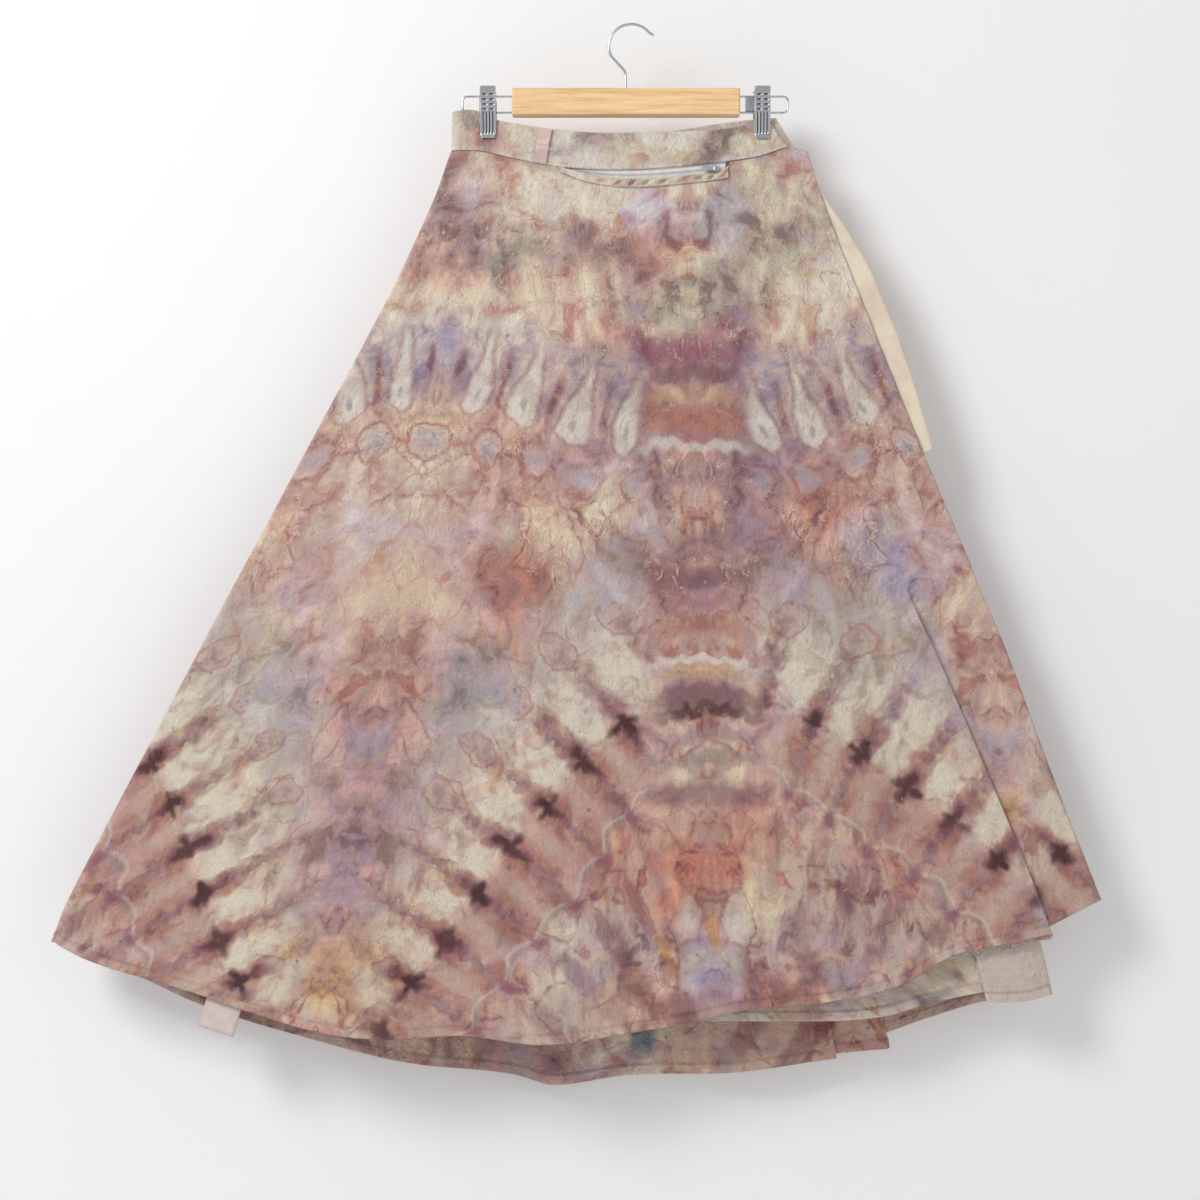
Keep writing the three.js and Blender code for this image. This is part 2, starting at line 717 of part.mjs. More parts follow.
// ---- the zip pocket in the band's seam ----
function zipTape() {
  const count = 18;
  const row = (edge) =>
    Array.from({ length: count + 1 }, (_, k) => {
      const x = lerp(ZIP.left, ZIP.right, k / count);
      const z = edge(x);
      return new THREE.Vector3(x, frontDepth(x, WAIST_Z + 4) + ZIP.behind, z);
    });
  const top = row((x) => heightOf(BAND_BOTTOM, x) + ZIP.tuck);
  const bottom = row((x) => heightOf(ZIP_LOWER_EDGE, x) - ZIP.tuck);
  piece("zip_tape", wall([top, bottom], ZIP.tape), tape());
}

function pocketLip() {
  const count = 18;
  const rowCount = 4;
  const away = CLOTH / 2 + SEAM_GAP + ZIP.lip / 2;
  const rows = Array.from({ length: rowCount + 1 }, (_, i) => {
    const t = i / rowCount;
    return Array.from({ length: count + 1 }, (__, k) => {
      const x = lerp(ZIP.left - 3, ZIP.right + 2, k / count);
      const z = lerp(heightOf(ZIP_LOWER_EDGE, x) - 0.6, heightOf(LIP_LOWER_EDGE, x), t);
      return new THREE.Vector3(x, frontDepth(x, z) - away - 1.1 * Math.sin(Math.PI * t), z);
    });
  });
  piece("pocket_lip", wall(rows, ZIP.lip), dyed());
}

const sliderFace = () => frontDepth(SLIDER.x, WAIST_Z + 4) - 1.2;
const pinY = () => sliderFace() - 2.1;

function zipSlider() {
  const face = sliderFace();
  const { x, z, length, height, depth, pin } = SLIDER;
  const shell = solidOf(block(x - length / 2, x + length / 2, face, face + depth, z - height / 2, z + height / 2));
  const lug = (z0) => solidOf(block(x - 1.3, x + 1.3, pinY() - 0.9, face + 0.4, z0 - 0.55, z0 + 0.55));
  const rod = new THREE.CylinderGeometry(pin, pin, 5.2, 12).rotateX(Math.PI / 2).translate(x, pinY(), z);
  const whole = shell.add(lug(z - 2.7)).add(lug(z + 2.7)).add(solidOf(rod));
  piece("zip_slider", geometryOf(whole), nickel());
}

// The pull is an eye on the slider's pin with a thin plate, laid to the left.
function zipPull() {
  const { length, height, plate, barrel, bore, rest } = PULL;
  const tall = 3.6;
  const eye = new THREE.CylinderGeometry(barrel, barrel, tall, 16).rotateX(Math.PI / 2);
  const hole = new THREE.CylinderGeometry(bore, bore, tall + 2, 16).rotateX(Math.PI / 2);
  const neck = block(-4, -0.2, -plate / 2, plate / 2, -tall / 2, tall / 2);
  const blade = block(-length, -3.4, -plate / 2, plate / 2, -height / 2, height / 2);
  const whole = solidOf(eye).add(solidOf(neck)).add(solidOf(blade)).subtract(solidOf(hole));
  const geometry = geometryOf(whole);
  geometry.rotateZ(THREE.MathUtils.degToRad(rest));
  geometry.translate(SLIDER.x, pinY(), SLIDER.z);
  piece("zip_pull", geometry, nickel());
}

// ---- the hanger ----
function hangerBar() {
  const half = BAR.depth / 2;
  const round = 2.5;
  const section = new THREE.Shape();
  section.moveTo(-half + round, BAR.bottom);
  section.lineTo(half - round, BAR.bottom);
  section.absarc(half - round, BAR.bottom + round, round, -Math.PI / 2, 0, false);
  section.lineTo(half, BAR.top - round);
  section.absarc(half - round, BAR.top - round, round, 0, Math.PI / 2, false);
  section.lineTo(-half + round, BAR.top);
  section.absarc(-half + round, BAR.top - round, round, Math.PI / 2, Math.PI, false);
  section.lineTo(-half, BAR.bottom + round);
  section.absarc(-half + round, BAR.bottom + round, round, Math.PI, 1.5 * Math.PI, false);
  for (const z of [LOOP.top, LOOP.bottom + 1]) {
    const bore = new THREE.Path();
    bore.absarc(0, z, LOOP.wire / 2 + 0.4, 0, 2 * Math.PI, true);
    section.holes.push(bore);
  }
  const length = BAR.right - BAR.left;
  const stick = new THREE.ExtrudeGeometry(section, { depth: length, bevelEnabled: false, curveSegments: 4 });
  // The section's x becomes depth and its length runs along X.
  stick.applyMatrix4(new THREE.Matrix4().set(0, 0, 1, BAR.left, 1, 0, 0, 0, 0, 1, 0, 0, 0, 0, 0, 1));
  const socket = new THREE.CylinderGeometry(HOOK.wire / 2 + 0.3, HOOK.wire / 2 + 0.3, 8, 16);
  socket.rotateX(Math.PI / 2).translate(HOOK.stemX, 0, BAR.top);
  piece("hanger_bar", geometryOf(solidOf(stick).subtract(solidOf(socket))), pine());
}

function hangerHook() {
  const centreZ = -(HOOK.radius - HOOK.wire / 2);
  const points = [
    new THREE.Vector3(23.5, 0, -10.4),
    new THREE.Vector3(21, 0, -9.4),
  ];
  const arcSteps = 20;
  for (let k = 0; k <= arcSteps; k += 1) {
    const turn = THREE.MathUtils.degToRad(lerp(HOOK.mouth, HOOK.neck, k / arcSteps));
    points.push(new THREE.Vector3(HOOK.radius * Math.cos(turn), 0, centreZ + HOOK.radius * Math.sin(turn)));
  }
  points.push(new THREE.Vector3(-14.4, 0, -40.5));
  points.push(new THREE.Vector3(-8.6, 0, -46.8));
  points.push(new THREE.Vector3(-6.6, 0, -50.5));
  points.push(new THREE.Vector3(HOOK.stemX, 0, -54));
  points.push(new THREE.Vector3(HOOK.stemX, 0, BAR.top - 3.5));
  const rod = solidOf(wire(points, HOOK.wire / 2, 10));
  const bead = new THREE.SphereGeometry(HOOK.bead, 10, 8).translate(23.5, 0, -10.4);
  piece("hanger_hook", geometryOf(rod.add(solidOf(bead))), steel());
}

// One wire bent to a flat loop, through both bores of the bar.
function wireLoop() {
  const { left, right, top, bottom, bend } = LOOP;
  const low = bottom + 1;
  const corners = [
    [right - bend, top - bend, 0],
    [left + bend, top - bend, 90],
    [left + bend, low + bend, 180],
    [right - bend, low + bend, 270],
  ];
  const points = [];
  const cornerSteps = 4;
  for (const [x, z, startTurn] of corners) {
    for (let k = 0; k <= cornerSteps; k += 1) {
      const turn = THREE.MathUtils.degToRad(startTurn + (90 * k) / cornerSteps);
      points.push(new THREE.Vector3(x + bend * Math.cos(turn), 0, z + bend * Math.sin(turn)));
    }
  }
  piece("wire_loop", wire(points, LOOP.wire / 2, 8, true), steel());
}

// A clip's leaf from the side: how far its middle stands from the clip's centre at each height.
const LEAF_SIDE = [
  { z: -67.5, x: 12.5 },
  { z: -76, x: 10.8 },
  { z: -85, x: 9.6 },
  { z: -96, x: 8.6 },
  { z: -108, x: 6.6 },
  { z: -117, x: 5.2 },
  { z: -121.7, x: 6.4 },
];

// Stamped ribs: bars across the thumb end, flutes down the jaw end.
function clipLeaf(name, x, side) {
  const ribColumns = 13;
  const rowCount = 13;
  const leaf = 1.0;
  const relief = 0.7;
  const rows = Array.from({ length: rowCount }, (_, i) => {
    const t = i / (rowCount - 1);
    const z = lerp(CLIP_TOP, CLIP_BOTTOM, t);
    const narrow = 1 - 0.12 * ease((t - 0.86) / 0.14);
    return Array.from({ length: ribColumns }, (__, k) => {
      const f = k / (ribColumns - 1) - 0.5;
      const flutes = (k % 3 === 0 ? 0 : relief) * ease((t - 0.44) / 0.08);
      const bars = (i % 2 === 1 && k > 0 && k < ribColumns - 1 && k !== 6 ? relief : 0) * (t < 0.42 ? 1 : 0);
      const out = placeOf(LEAF_SIDE, z) + flutes + bars;
      return new THREE.Vector3(x + f * CLIP_WIDTH * narrow, side * out, z);
    });
  });
  piece(name, wall(rows, leaf), nickel());
}

// The slide sits between the two wires and carries the leaves' pivot.
function clipSlide(name, x, reachLeft) {
  const half = 7.6;
  const low = LOOP.bottom + 1 + LOOP.wire / 2 + SEAM_GAP;
  const high = LOOP.top - LOOP.wire / 2 - SEAM_GAP;
  const carriage = block(x - CLIP_WIDTH / 2 + 1, x + CLIP_WIDTH / 2 - 1, -half, half, low, high);
  const guide = block(x - CLIP_WIDTH / 2 - reachLeft, x, -3, 3, low, high);
  piece(name, geometryOf(solidOf(carriage).add(solidOf(guide))), steel());
}

frontPanel();
backPanel();
underPanel();
waistband();
beltLoop();
rightTie();
leftTie();
zipTape();
pocketLip();
zipSlider();
zipPull();
hangerBar();
hangerHook();
wireLoop();
clipLeaf("left_clip_front", CLIP_LEFT_X, -1);
clipLeaf("left_clip_back", CLIP_LEFT_X, 1);
clipSlide("left_clip_slide", CLIP_LEFT_X, 1);
clipLeaf("right_clip_front", CLIP_RIGHT_X, -1);
clipLeaf("right_clip_back", CLIP_RIGHT_X, 1);
clipSlide("right_clip_slide", CLIP_RIGHT_X, 9);

export default group;
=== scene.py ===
import math

import bpy
import numpy as np
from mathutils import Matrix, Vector


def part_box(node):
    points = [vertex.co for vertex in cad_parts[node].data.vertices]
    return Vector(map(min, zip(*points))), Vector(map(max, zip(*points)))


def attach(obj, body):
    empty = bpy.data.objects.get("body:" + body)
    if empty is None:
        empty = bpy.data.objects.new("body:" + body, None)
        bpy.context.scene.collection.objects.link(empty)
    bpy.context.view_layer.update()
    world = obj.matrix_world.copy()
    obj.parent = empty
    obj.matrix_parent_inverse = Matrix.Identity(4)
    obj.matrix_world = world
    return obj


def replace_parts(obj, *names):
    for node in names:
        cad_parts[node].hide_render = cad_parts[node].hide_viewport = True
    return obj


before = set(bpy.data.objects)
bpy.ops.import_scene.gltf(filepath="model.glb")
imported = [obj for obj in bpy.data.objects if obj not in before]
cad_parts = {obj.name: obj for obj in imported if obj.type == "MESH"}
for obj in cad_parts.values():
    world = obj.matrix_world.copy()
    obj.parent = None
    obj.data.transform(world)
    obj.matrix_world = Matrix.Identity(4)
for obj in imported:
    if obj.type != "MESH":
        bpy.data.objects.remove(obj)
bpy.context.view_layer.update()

scene = bpy.context.scene


# ---- The place: a pale wall close behind the skirt that sweeps into a floor, soft light, camera ----
# The hanger hangs from a nail a hand's breadth off a painted wall, lit by one broad soft lamp from
# the upper left and by the room's even light.
EYE_DISTANCE = 2.3
FIELD_WIDTH = 1.284
AIM_X, AIM_Z = -0.0336, -0.6147
WALL_Y, FLOOR_Z, SWEEP = 0.075, -1.75, 0.35


class Graph:
    """One node tree. Each call adds a node and gives back its first output."""

    def __init__(self, tree):
        self.tree = tree

    def add(self, kind, inputs=(), **settings):
        node = self.tree.nodes.new(kind)
        for name, value in settings.items():
            setattr(node, name, value)
        for key, value in dict(inputs).items():
            self.feed(node.inputs[key], value)
        return node

    def feed(self, socket, value):
        if isinstance(value, bpy.types.NodeSocket):
            self.tree.links.new(value, socket)
        else:
            socket.default_value = value

    def math(self, operation, a, b=0.0, c=0.0):
        return self.add("ShaderNodeMath", {0: a, 1: b, 2: c}, operation=operation).outputs[0]

    def times(self, first, *others):
        for other in others:
            first = self.math("MULTIPLY", first, other)
        return first

    def plus(self, a, b):
        return self.math("ADD", a, b)

    def less(self, a, b):
        return self.math("SUBTRACT", a, b)

    def over(self, a, b):
        return self.math("DIVIDE", a, b)

    def scaled(self, value, by, then_add):
        return self.math("MULTIPLY_ADD", value, by, then_add)

    def size(self, value):
        return self.math("ABSOLUTE", value)

    def fade(self, value, low, high):
        """0 where value is at low and 1 where it is at high, eased between."""
        sockets = {"Value": value, "From Min": low, "From Max": high}
        node = self.add("ShaderNodeMapRange", sockets, interpolation_type="SMOOTHSTEP")
        return node.outputs[0]

    def below(self, value, low, high):
        """1 where value is under low and 0 where it is over high, eased between."""
        return self.less(1.0, self.fade(value, low, high))

    def ramp(self, value, stops):
        node = self.add("ShaderNodeValToRGB", {"Fac": value})
        line = node.color_ramp.elements
        while len(line) < len(stops):
            line.new(1.0)
        for element, (place, colour) in zip(line, stops):
            element.position = place
            element.color = colour
        return node.outputs["Color"]

    def mix(self, share, a, b, blend="MIX"):
        node = self.add("ShaderNodeMix", {0: share, 6: a, 7: b}, data_type="RGBA", blend_type=blend)
        return node.outputs[2]

    def lay(self, colour, dye, *shares):
        """A dye laid over a colour, as strong as all the shares multiplied."""
        return self.mix(self.times(*shares), colour, dye)

    def either(self, value, low, high, first, second):
        """The first colour where value is at low, the second where it is at high."""
        return self.mix(self.fade(value, low, high), first, second)

    def noise(self, vector, scale, detail=3.0, rough=0.5, bend=0.0):
        sockets = {"Vector": vector, "Scale": scale, "Detail": detail, "Roughness": rough,
                   "Distortion": bend}
        return self.add("ShaderNodeTexNoise", sockets).outputs[0]

    def vector(self, x=0.0, y=0.0, z=0.0):
        return self.add("ShaderNodeCombineXYZ", {0: x, 1: y, 2: z}).outputs[0]

    def split(self, vector):
        return self.add("ShaderNodeSeparateXYZ", {0: vector}).outputs


def paint(red, green, blue, alpha=1.0):
    """A colour from its 0 to 255 screen values, in the linear values that shaders use."""
    linear = [c / 255 / 12.92 if c < 11 else ((c / 255 + 0.055) / 1.055) ** 2.4
              for c in (red, green, blue)]
    return (*linear, alpha)


def new_material(name, **settings):
    """A material with its Principled shader: the graph, the shader node and the material."""
    material = bpy.data.materials.new(name)
    material.use_nodes = True
    shader = material.node_tree.nodes["Principled BSDF"]
    for key, value in settings.items():
        shader.inputs[key.replace("_", " ")].default_value = value
    return Graph(material.node_tree), shader, material


def raise_relief(graph, shader, height, strength, distance):
    bump = graph.add("ShaderNodeBump", {"Height": height, "Strength": strength, "Distance": distance})
    graph.feed(shader.inputs["Normal"], bump.outputs["Normal"])


def wall_paint():
    graph, shader, material = new_material("wall_paint", Roughness=0.9)
    place = graph.add("ShaderNodeTexCoord").outputs["Object"]
    mottle = graph.noise(place, 2.0, 2.0)
    graph.feed(shader.inputs["Base Color"], graph.ramp(mottle, [(0.3, paint(236, 236, 236)),
                                                                (0.7, paint(238, 238, 238))]))
    # Seen from its back, the wall is out of the way, so that the skirt's back can be looked at.
    behind = graph.add("ShaderNodeNewGeometry").outputs["Backfacing"]
    clear = graph.add("ShaderNodeBsdfTransparent").outputs[0]
    both = graph.add("ShaderNodeMixShader", {0: behind, 1: shader.outputs[0], 2: clear})
    graph.feed(material.node_tree.nodes["Material Output"].inputs["Surface"], both.outputs[0])
    return material


def build_wall():
    turn = np.linspace(0, math.pi / 2, 13)
    profile = [(WALL_Y, 1.6)]
    profile += [(WALL_Y - SWEEP * (1 - math.cos(t)), FLOOR_Z + SWEEP * (1 - math.sin(t))) for t in turn]
    profile += [(-5.0, FLOOR_Z)]
    points = [(x, y, z) for y, z in profile for x in (-4.0, 4.0)]
    faces = [(2 * k, 2 * k + 2, 2 * k + 3, 2 * k + 1) for k in range(len(profile) - 1)]
    mesh = bpy.data.meshes.new("wall_and_floor")
    mesh.from_pydata(points, [], faces)
    mesh.materials.append(wall_paint())
    for face in mesh.polygons:
        face.use_smooth = True
    wall = bpy.data.objects.new("wall_and_floor", mesh)
    scene.collection.objects.link(wall)
    wall.visible_shadow = False


def build_lights_and_camera():
    world = bpy.data.worlds.new("room")
    world.use_nodes = True
    world.node_tree.nodes["Background"].inputs["Color"].default_value = (0.97, 0.985, 1.0, 1.0)
    world.node_tree.nodes["Background"].inputs["Strength"].default_value = 0.53
    scene.world = world
    target = Vector((AIM_X, 0.0, AIM_Z))
    lamps = (("key", (-1.9, -2.45, 1.15), 1.1, 68.0), ("fill", (1.9, -2.4, -0.4), 1.6, 8.0),
             ("behind", (0.5, 2.4, 0.1), 1.6, 26.0))
    for name, place, size, power in lamps:
        lamp = bpy.data.lights.new(name, "AREA")
        lamp.size = size
        lamp.energy = power
        light = bpy.data.objects.new(name, lamp)
        light.location = place
        light.rotation_euler = (target - Vector(place)).to_track_quat("-Z", "Y").to_euler()
        scene.collection.objects.link(light)
    lens = bpy.data.cameras.new("camera")
    lens.sensor_width = 36.0
    lens.lens = 36.0 * EYE_DISTANCE / FIELD_WIDTH
    camera = bpy.data.objects.new("camera", lens)
    camera.location = (AIM_X, -EYE_DISTANCE, AIM_Z)
    camera.rotation_euler = (math.pi / 2, 0.0, 0.0)
    scene.collection.objects.link(camera)
    scene.camera = camera
    scene.view_settings.view_transform = "Standard"


build_wall()
build_lights_and_camera()


# ---- How the skirt hangs: its outlines and how its layers lie in depth, in millimetres ----
# The tube is folded flat by the hanger: front wrap over under wrap over back. It is pressed
# together at the clips, gapes a little between them, and opens towards the hem.
SEAM_Z, DROP_LENGTH = -145.0, 970.0
LAYER, BAND_GAPE = 3.0, 3.5
FRONT_BULGE, BACK_BULGE = 38.0, 26.0
CLIP_LEFT, CLIP_RIGHT = -153.1, 139.5


def through(*rows):
    """A smooth line through (at, value) rows, as a function that takes numbers or arrays."""
    knots = np.array(sorted(rows), float)
    at, value = knots[:, 0], knots[:, 1]
    last = len(at) - 1
    low, high = np.maximum(np.arange(last + 1) - 1, 0), np.minimum(np.arange(last + 1) + 1, last)
    slope = (value[high] - value[low]) / (at[high] - at[low])

    def line(where):
        where = np.asarray(where, float)
        i = np.clip(np.searchsorted(at, where, side="right") - 1, 0, last - 1)
        span = at[i + 1] - at[i]
        f = np.clip((where - at[i]) / span, 0, 1)
        return ((2 * f**3 - 3 * f**2 + 1) * value[i] + (f**3 - 2 * f**2 + f) * span * slope[i]
                + (3 * f**2 - 2 * f**3) * value[i + 1] + (f**3 - f**2) * span * slope[i + 1])

    return line


def ease(value):
    f = np.clip(value, 0, 1)
    return f * f * (3 - 2 * f)


def lerp(a, b, f):
    return a + (b - a) * f


left_side = through((-133, -192), (-187, -211), (-294, -261), (-465, -352), (-722, -489),
                    (-936, -600), (-984, -618))
right_side = through((-100, 154), (-134, 178), (-173, 185), (-294, 223), (-600, 319),
                     (-980, 436), (-1045, 451))
free_edge = through((-135, 188), (-175, 200), (-233, 221), (-294, 245), (-465, 314),
                    (-658, 395), (-786, 442), (-936, 501))
inner_band_top = through((-191, -95), (-153, -101), (-85, -116), (-34, -121), (39, -114.5),
                         (93, -105.6), (129, -101), (154, -99.5))
inner_band_bottom = through((-191, -136), (-140, -142), (-87, -152), (-34, -157), (73, -152.5),
                            (140, -142), (178, -137))
band_top = through((-191, -92.5), (-168, -91.5), (-143, -102), (-85, -112.4), (-34, -117),
                   (39, -115.6), (93, -112.9), (131, -106.4), (149, -106))
band_bottom = through((-191, -134.2), (-163, -134.7), (-123, -143.6), (-90, -151.1), (-48, -155.5),
                      (9, -155.7), (72, -150.2), (134, -141), (168, -131), (188, -135))


def drop(z):
    return np.clip((SEAM_Z - z) / DROP_LENGTH, 0, 1)


def between_clips(x):
    f = np.clip((x - CLIP_LEFT - 14) / (CLIP_RIGHT - CLIP_LEFT - 28), 0, 1)
    return np.sin(np.pi * f) ** 0.8


def across(x, z):
    left, right = left_side(z), right_side(z)
    return np.sin(np.pi * np.clip((x - left) / (right - left), 0, 1))


def front_wave(x, z):
    return drop(z) ** 1.8 * (6 * np.sin(x / 41 + 0.5) + 3.5 * np.sin(x / 27 + 2))


def back_wave(x, z):
    return drop(z) ** 1.8 * (5 * np.sin(x / 47 + 2.4) + 3.5 * np.sin(x / 30 + 0.7))


def gape(x, z):
    return BAND_GAPE * between_clips(x) * (1 - drop(z)) ** 3


def under_depth(x, z):
    bulge = FRONT_BULGE * drop(z) ** 1.1 * across(x, z)
    return -6 * drop(z) - gape(x, z) - bulge + front_wave(x, z)


def front_depth(x, z):
    room = 1.6 * ease((SEAM_Z + 4 - z) / 18)
    return under_depth(x, z) - LAYER - gape(x, z) - room - 12 * drop(z)


def back_depth(x, z):
    bulge = BACK_BULGE * drop(z) * across(x, z)
    return LAYER + 5 * drop(z) + 2 * gape(x, z) + bulge + back_wave(x, z)


# ---- The cotton: plain-woven, crinkled by the dye bath, and ice-dyed while folded ----
# Folding before dyeing repeats the colours as mirror images about the folds. Where the cloth was
# tied, plum spots stay with cream petals between them, and wet edges leave pale and rusty lines.
IVORY, CREAM, SHELL = paint(230, 219, 206), paint(219, 203, 184), paint(214, 196, 186)
BLUSH, PEACH, ROSE = paint(206, 174, 160), paint(213, 175, 150), paint(185, 140, 131)
RUST, MAUVE, PLUM = paint(176, 108, 86), paint(158, 124, 132), paint(118, 66, 80)
AUBERGINE, MAGENTA = paint(78, 34, 38), paint(150, 74, 100)
LAVENDER, SAGE, STONE = paint(168, 164, 188), paint(184, 176, 160), paint(146, 140, 130)
OCHRE, TEAL = paint(196, 152, 84), paint(72, 114, 142)
# Hardly dyed: these keep their own colour, because the drifts and ties show through only a little.
BARE, BARE_PEACH = paint(214, 196, 184, 0.15), paint(216, 184, 162, 0.45)


def poured(x, z, ground, pours):
    """The soft fields of dye at these places, in millimetres: each pour is its place across and
    down, its half size each way, its colour and its strength."""
    wander_x = 16 * np.sin(z / 31 + 1.1 * np.sin(x / 47)) + 9 * np.sin(x / 13 + z / 19)
    wander_z = 14 * np.sin(x / 27 + 1.3 * np.sin(z / 53)) + 8 * np.sin(z / 12 - x / 17)
    colour = np.broadcast_to(np.array(ground), (*np.shape(x), 4)).copy()
    for at_x, at_z, half_wide, half_high, dye, strength in pours:
        far = ((x + wander_x - at_x) / half_wide) ** 2 + ((z + wander_z - at_z) / half_high) ** 2
        share = (min(1.35 * strength, 0.96) * np.exp(-(far ** 1.5) * 0.55))[..., None]
        colour = lerp(colour, np.array(dye), share)
    return colour


def group_of(name, inputs, outputs):
    """A shader node group with its inputs and outputs, and the graph to fill it with."""
    tree = bpy.data.node_groups.new(name, "ShaderNodeTree")
    for label, kind in inputs.items():
        tree.interface.new_socket(label, in_out="INPUT", socket_type=kind)
    for label, kind in outputs.items():
        tree.interface.new_socket(label, in_out="OUTPUT", socket_type=kind)
    graph = Graph(tree)
    start = graph.add("NodeGroupInput")
    end = graph.add("NodeGroupOutput")
    return tree, graph, start.outputs, end.inputs


def use(graph, tree, **inputs):
    node = graph.add("ShaderNodeGroup", node_tree=tree)
    for label, value in inputs.items():
        graph.feed(node.inputs[label], value)
    return node.outputs


FLOAT, VECTOR = "NodeSocketFloat", "NodeSocketVector"


def mirror_folds():
    """Place on the cloth to place on the folded bundle: U from the nearest fold, V down, Near the
    middle fold 0 and at the next fold 1, and Right of the middle fold 1."""
    tree, graph, given, out = group_of(
        "mirror_folds", {"Cloth": VECTOR}, {"U": FLOAT, "V": FLOAT, "Near": FLOAT, "Right": FLOAT})
    x, _, z = graph.split(given["Cloth"])
    lean = graph.times(graph.plus(z, 0.6), -0.035)
    from_axis = graph.less(x, graph.plus(0.073, lean))
    # The pleats widen towards the hem, because the panels are flared.
    pleat = graph.math("MAXIMUM", graph.scaled(z, -0.22, 0.186), 0.2)
    folded = graph.math("PINGPONG", graph.size(from_axis), pleat)
    shake = graph.times(graph.less(graph.noise(given["Cloth"], 9.0, 2.0), 0.5), 0.03)
    fine = graph.times(graph.less(graph.noise(given["Cloth"], 55.0, 3.0), 0.5), 0.01)
    u = graph.plus(folded, graph.plus(shake, fine))
    graph.feed(out["U"], graph.size(u))
    graph.feed(out["V"], graph.less(graph.plus(z, shake), fine))
    graph.feed(out["Near"], graph.over(folded, pleat))
    graph.feed(out["Right"], graph.fade(from_axis, -0.01, 0.01))
    return tree


def spot_ring():
    """The big arch of tied spots: Across each cell from its spot's line, and Beyond the arch."""
    tree, graph, given, out = group_of("spot_ring", {"U": FLOAT, "V": FLOAT, "Right": FLOAT},
                                       {"Across": FLOAT, "Beyond": FLOAT, "Cell": FLOAT})
    spacing, round_off = 0.0585, 0.22
    spread = graph.scaled(given["Right"], -0.46, 1.5)
    wide = graph.times(spread, given["U"])
    hyp = graph.math("SQRT", graph.scaled(wide, wide, round_off ** 2))
    fall = graph.less(hyp, round_off)
    slope = graph.over(graph.times(wide, spread), hyp)
    level = graph.math("SQRT", graph.scaled(slope, slope, 1.0))
    above = graph.plus(graph.plus(given["V"], 0.716), fall)
    beyond = graph.over(above, level)
    # The foot of the line that stands square on the arch and goes through this place.
    leant = graph.over(graph.times(beyond, slope), level)
    foot = graph.math("MAXIMUM", graph.less(given["U"], leant), 0.0)
    wide = graph.times(spread, foot)
    hyp = graph.math("SQRT", graph.scaled(wide, wide, round_off ** 2))
    fall = graph.less(hyp, round_off)
    length = graph.math("SQRT", graph.scaled(foot, foot, graph.times(fall, fall)))
    phase = graph.scaled(given["Right"], 0.5, 0.5)
    cell = graph.plus(graph.over(length, spacing), phase)
    from_spot = graph.less(graph.math("FRACT", graph.plus(cell, 0.5)), 0.5)
    graph.feed(out["Across"], graph.times(graph.size(from_spot), spacing))
    graph.feed(out["Beyond"], beyond)
    graph.feed(out["Cell"], cell)
    return tree


def cotton_weave():
    """The cloth's own relief: threads, slubs and the fine crinkle that washing leaves."""
    tree, graph, given, out = group_of("cotton_weave",
                                       {"Cloth": VECTOR, "Thread": FLOAT, "Crinkle": FLOAT},
                                       {"Height": FLOAT, "Tone": FLOAT})
    x, _, z = graph.split(given["Cloth"])
    warp = graph.math("SINE", graph.over(graph.times(x, 2 * math.pi), given["Thread"]))
    weft = graph.math("SINE", graph.over(graph.times(z, 2 * math.pi), given["Thread"]))
    threads = graph.times(graph.times(warp, weft), 0.5)
    slub = graph.noise(graph.vector(x, 0.0, graph.times(z, 0.12)), 700.0, 2.0)
    crinkle = graph.noise(given["Cloth"], 150.0, 4.0, 0.65, 0.6)
    pucker = graph.noise(graph.vector(graph.times(x, 1.3), 0.0, z), 48.0, 3.0, 0.55, 0.8)
    high = graph.scaled(pucker, 1.6, crinkle)
    pebble = graph.times(graph.noise(given["Cloth"], 420.0, 2.0), 0.55)
    fine = graph.scaled(graph.plus(threads, slub), 0.08, pebble)
    graph.feed(out["Height"], graph.scaled(high, given["Crinkle"], fine))
    graph.feed(out["Tone"], graph.plus(graph.times(slub, 0.5), graph.times(threads, 0.12)))
    return tree


# Drifts that lie over a field: grey leaves it as it is, and a tint or a shade pulls it that way.
COOL_TO_WARM = [(0.39, paint(176, 180, 208)), (0.45, paint(186, 172, 178)), (0.50, paint(188, 188, 184)),
                (0.55, paint(192, 188, 182)), (0.61, paint(212, 200, 190))]
DARK_TO_PALE = [(0.37, paint(140, 116, 116)), (0.44, paint(180, 171, 166)), (0.50, paint(190, 190, 188)),
                (0.56, paint(208, 202, 190)), (0.63, paint(228, 222, 212))]
FIBRES = [(0.36, paint(160, 146, 164)), (0.50, paint(190, 190, 190)), (0.62, paint(224, 216, 204))]

MIRROR, RING, WEAVE = mirror_folds(), spot_ring(), cotton_weave()


def within(graph, a, half_a, b, half_b, rough):
    """An oval's reach with a ragged rim: under 1 is inside."""
    across_it, down_it = graph.over(a, half_a), graph.over(b, half_b)
    squares = graph.scaled(across_it, across_it, graph.times(down_it, down_it))
    return graph.plus(graph.math("SQRT", squares), rough)


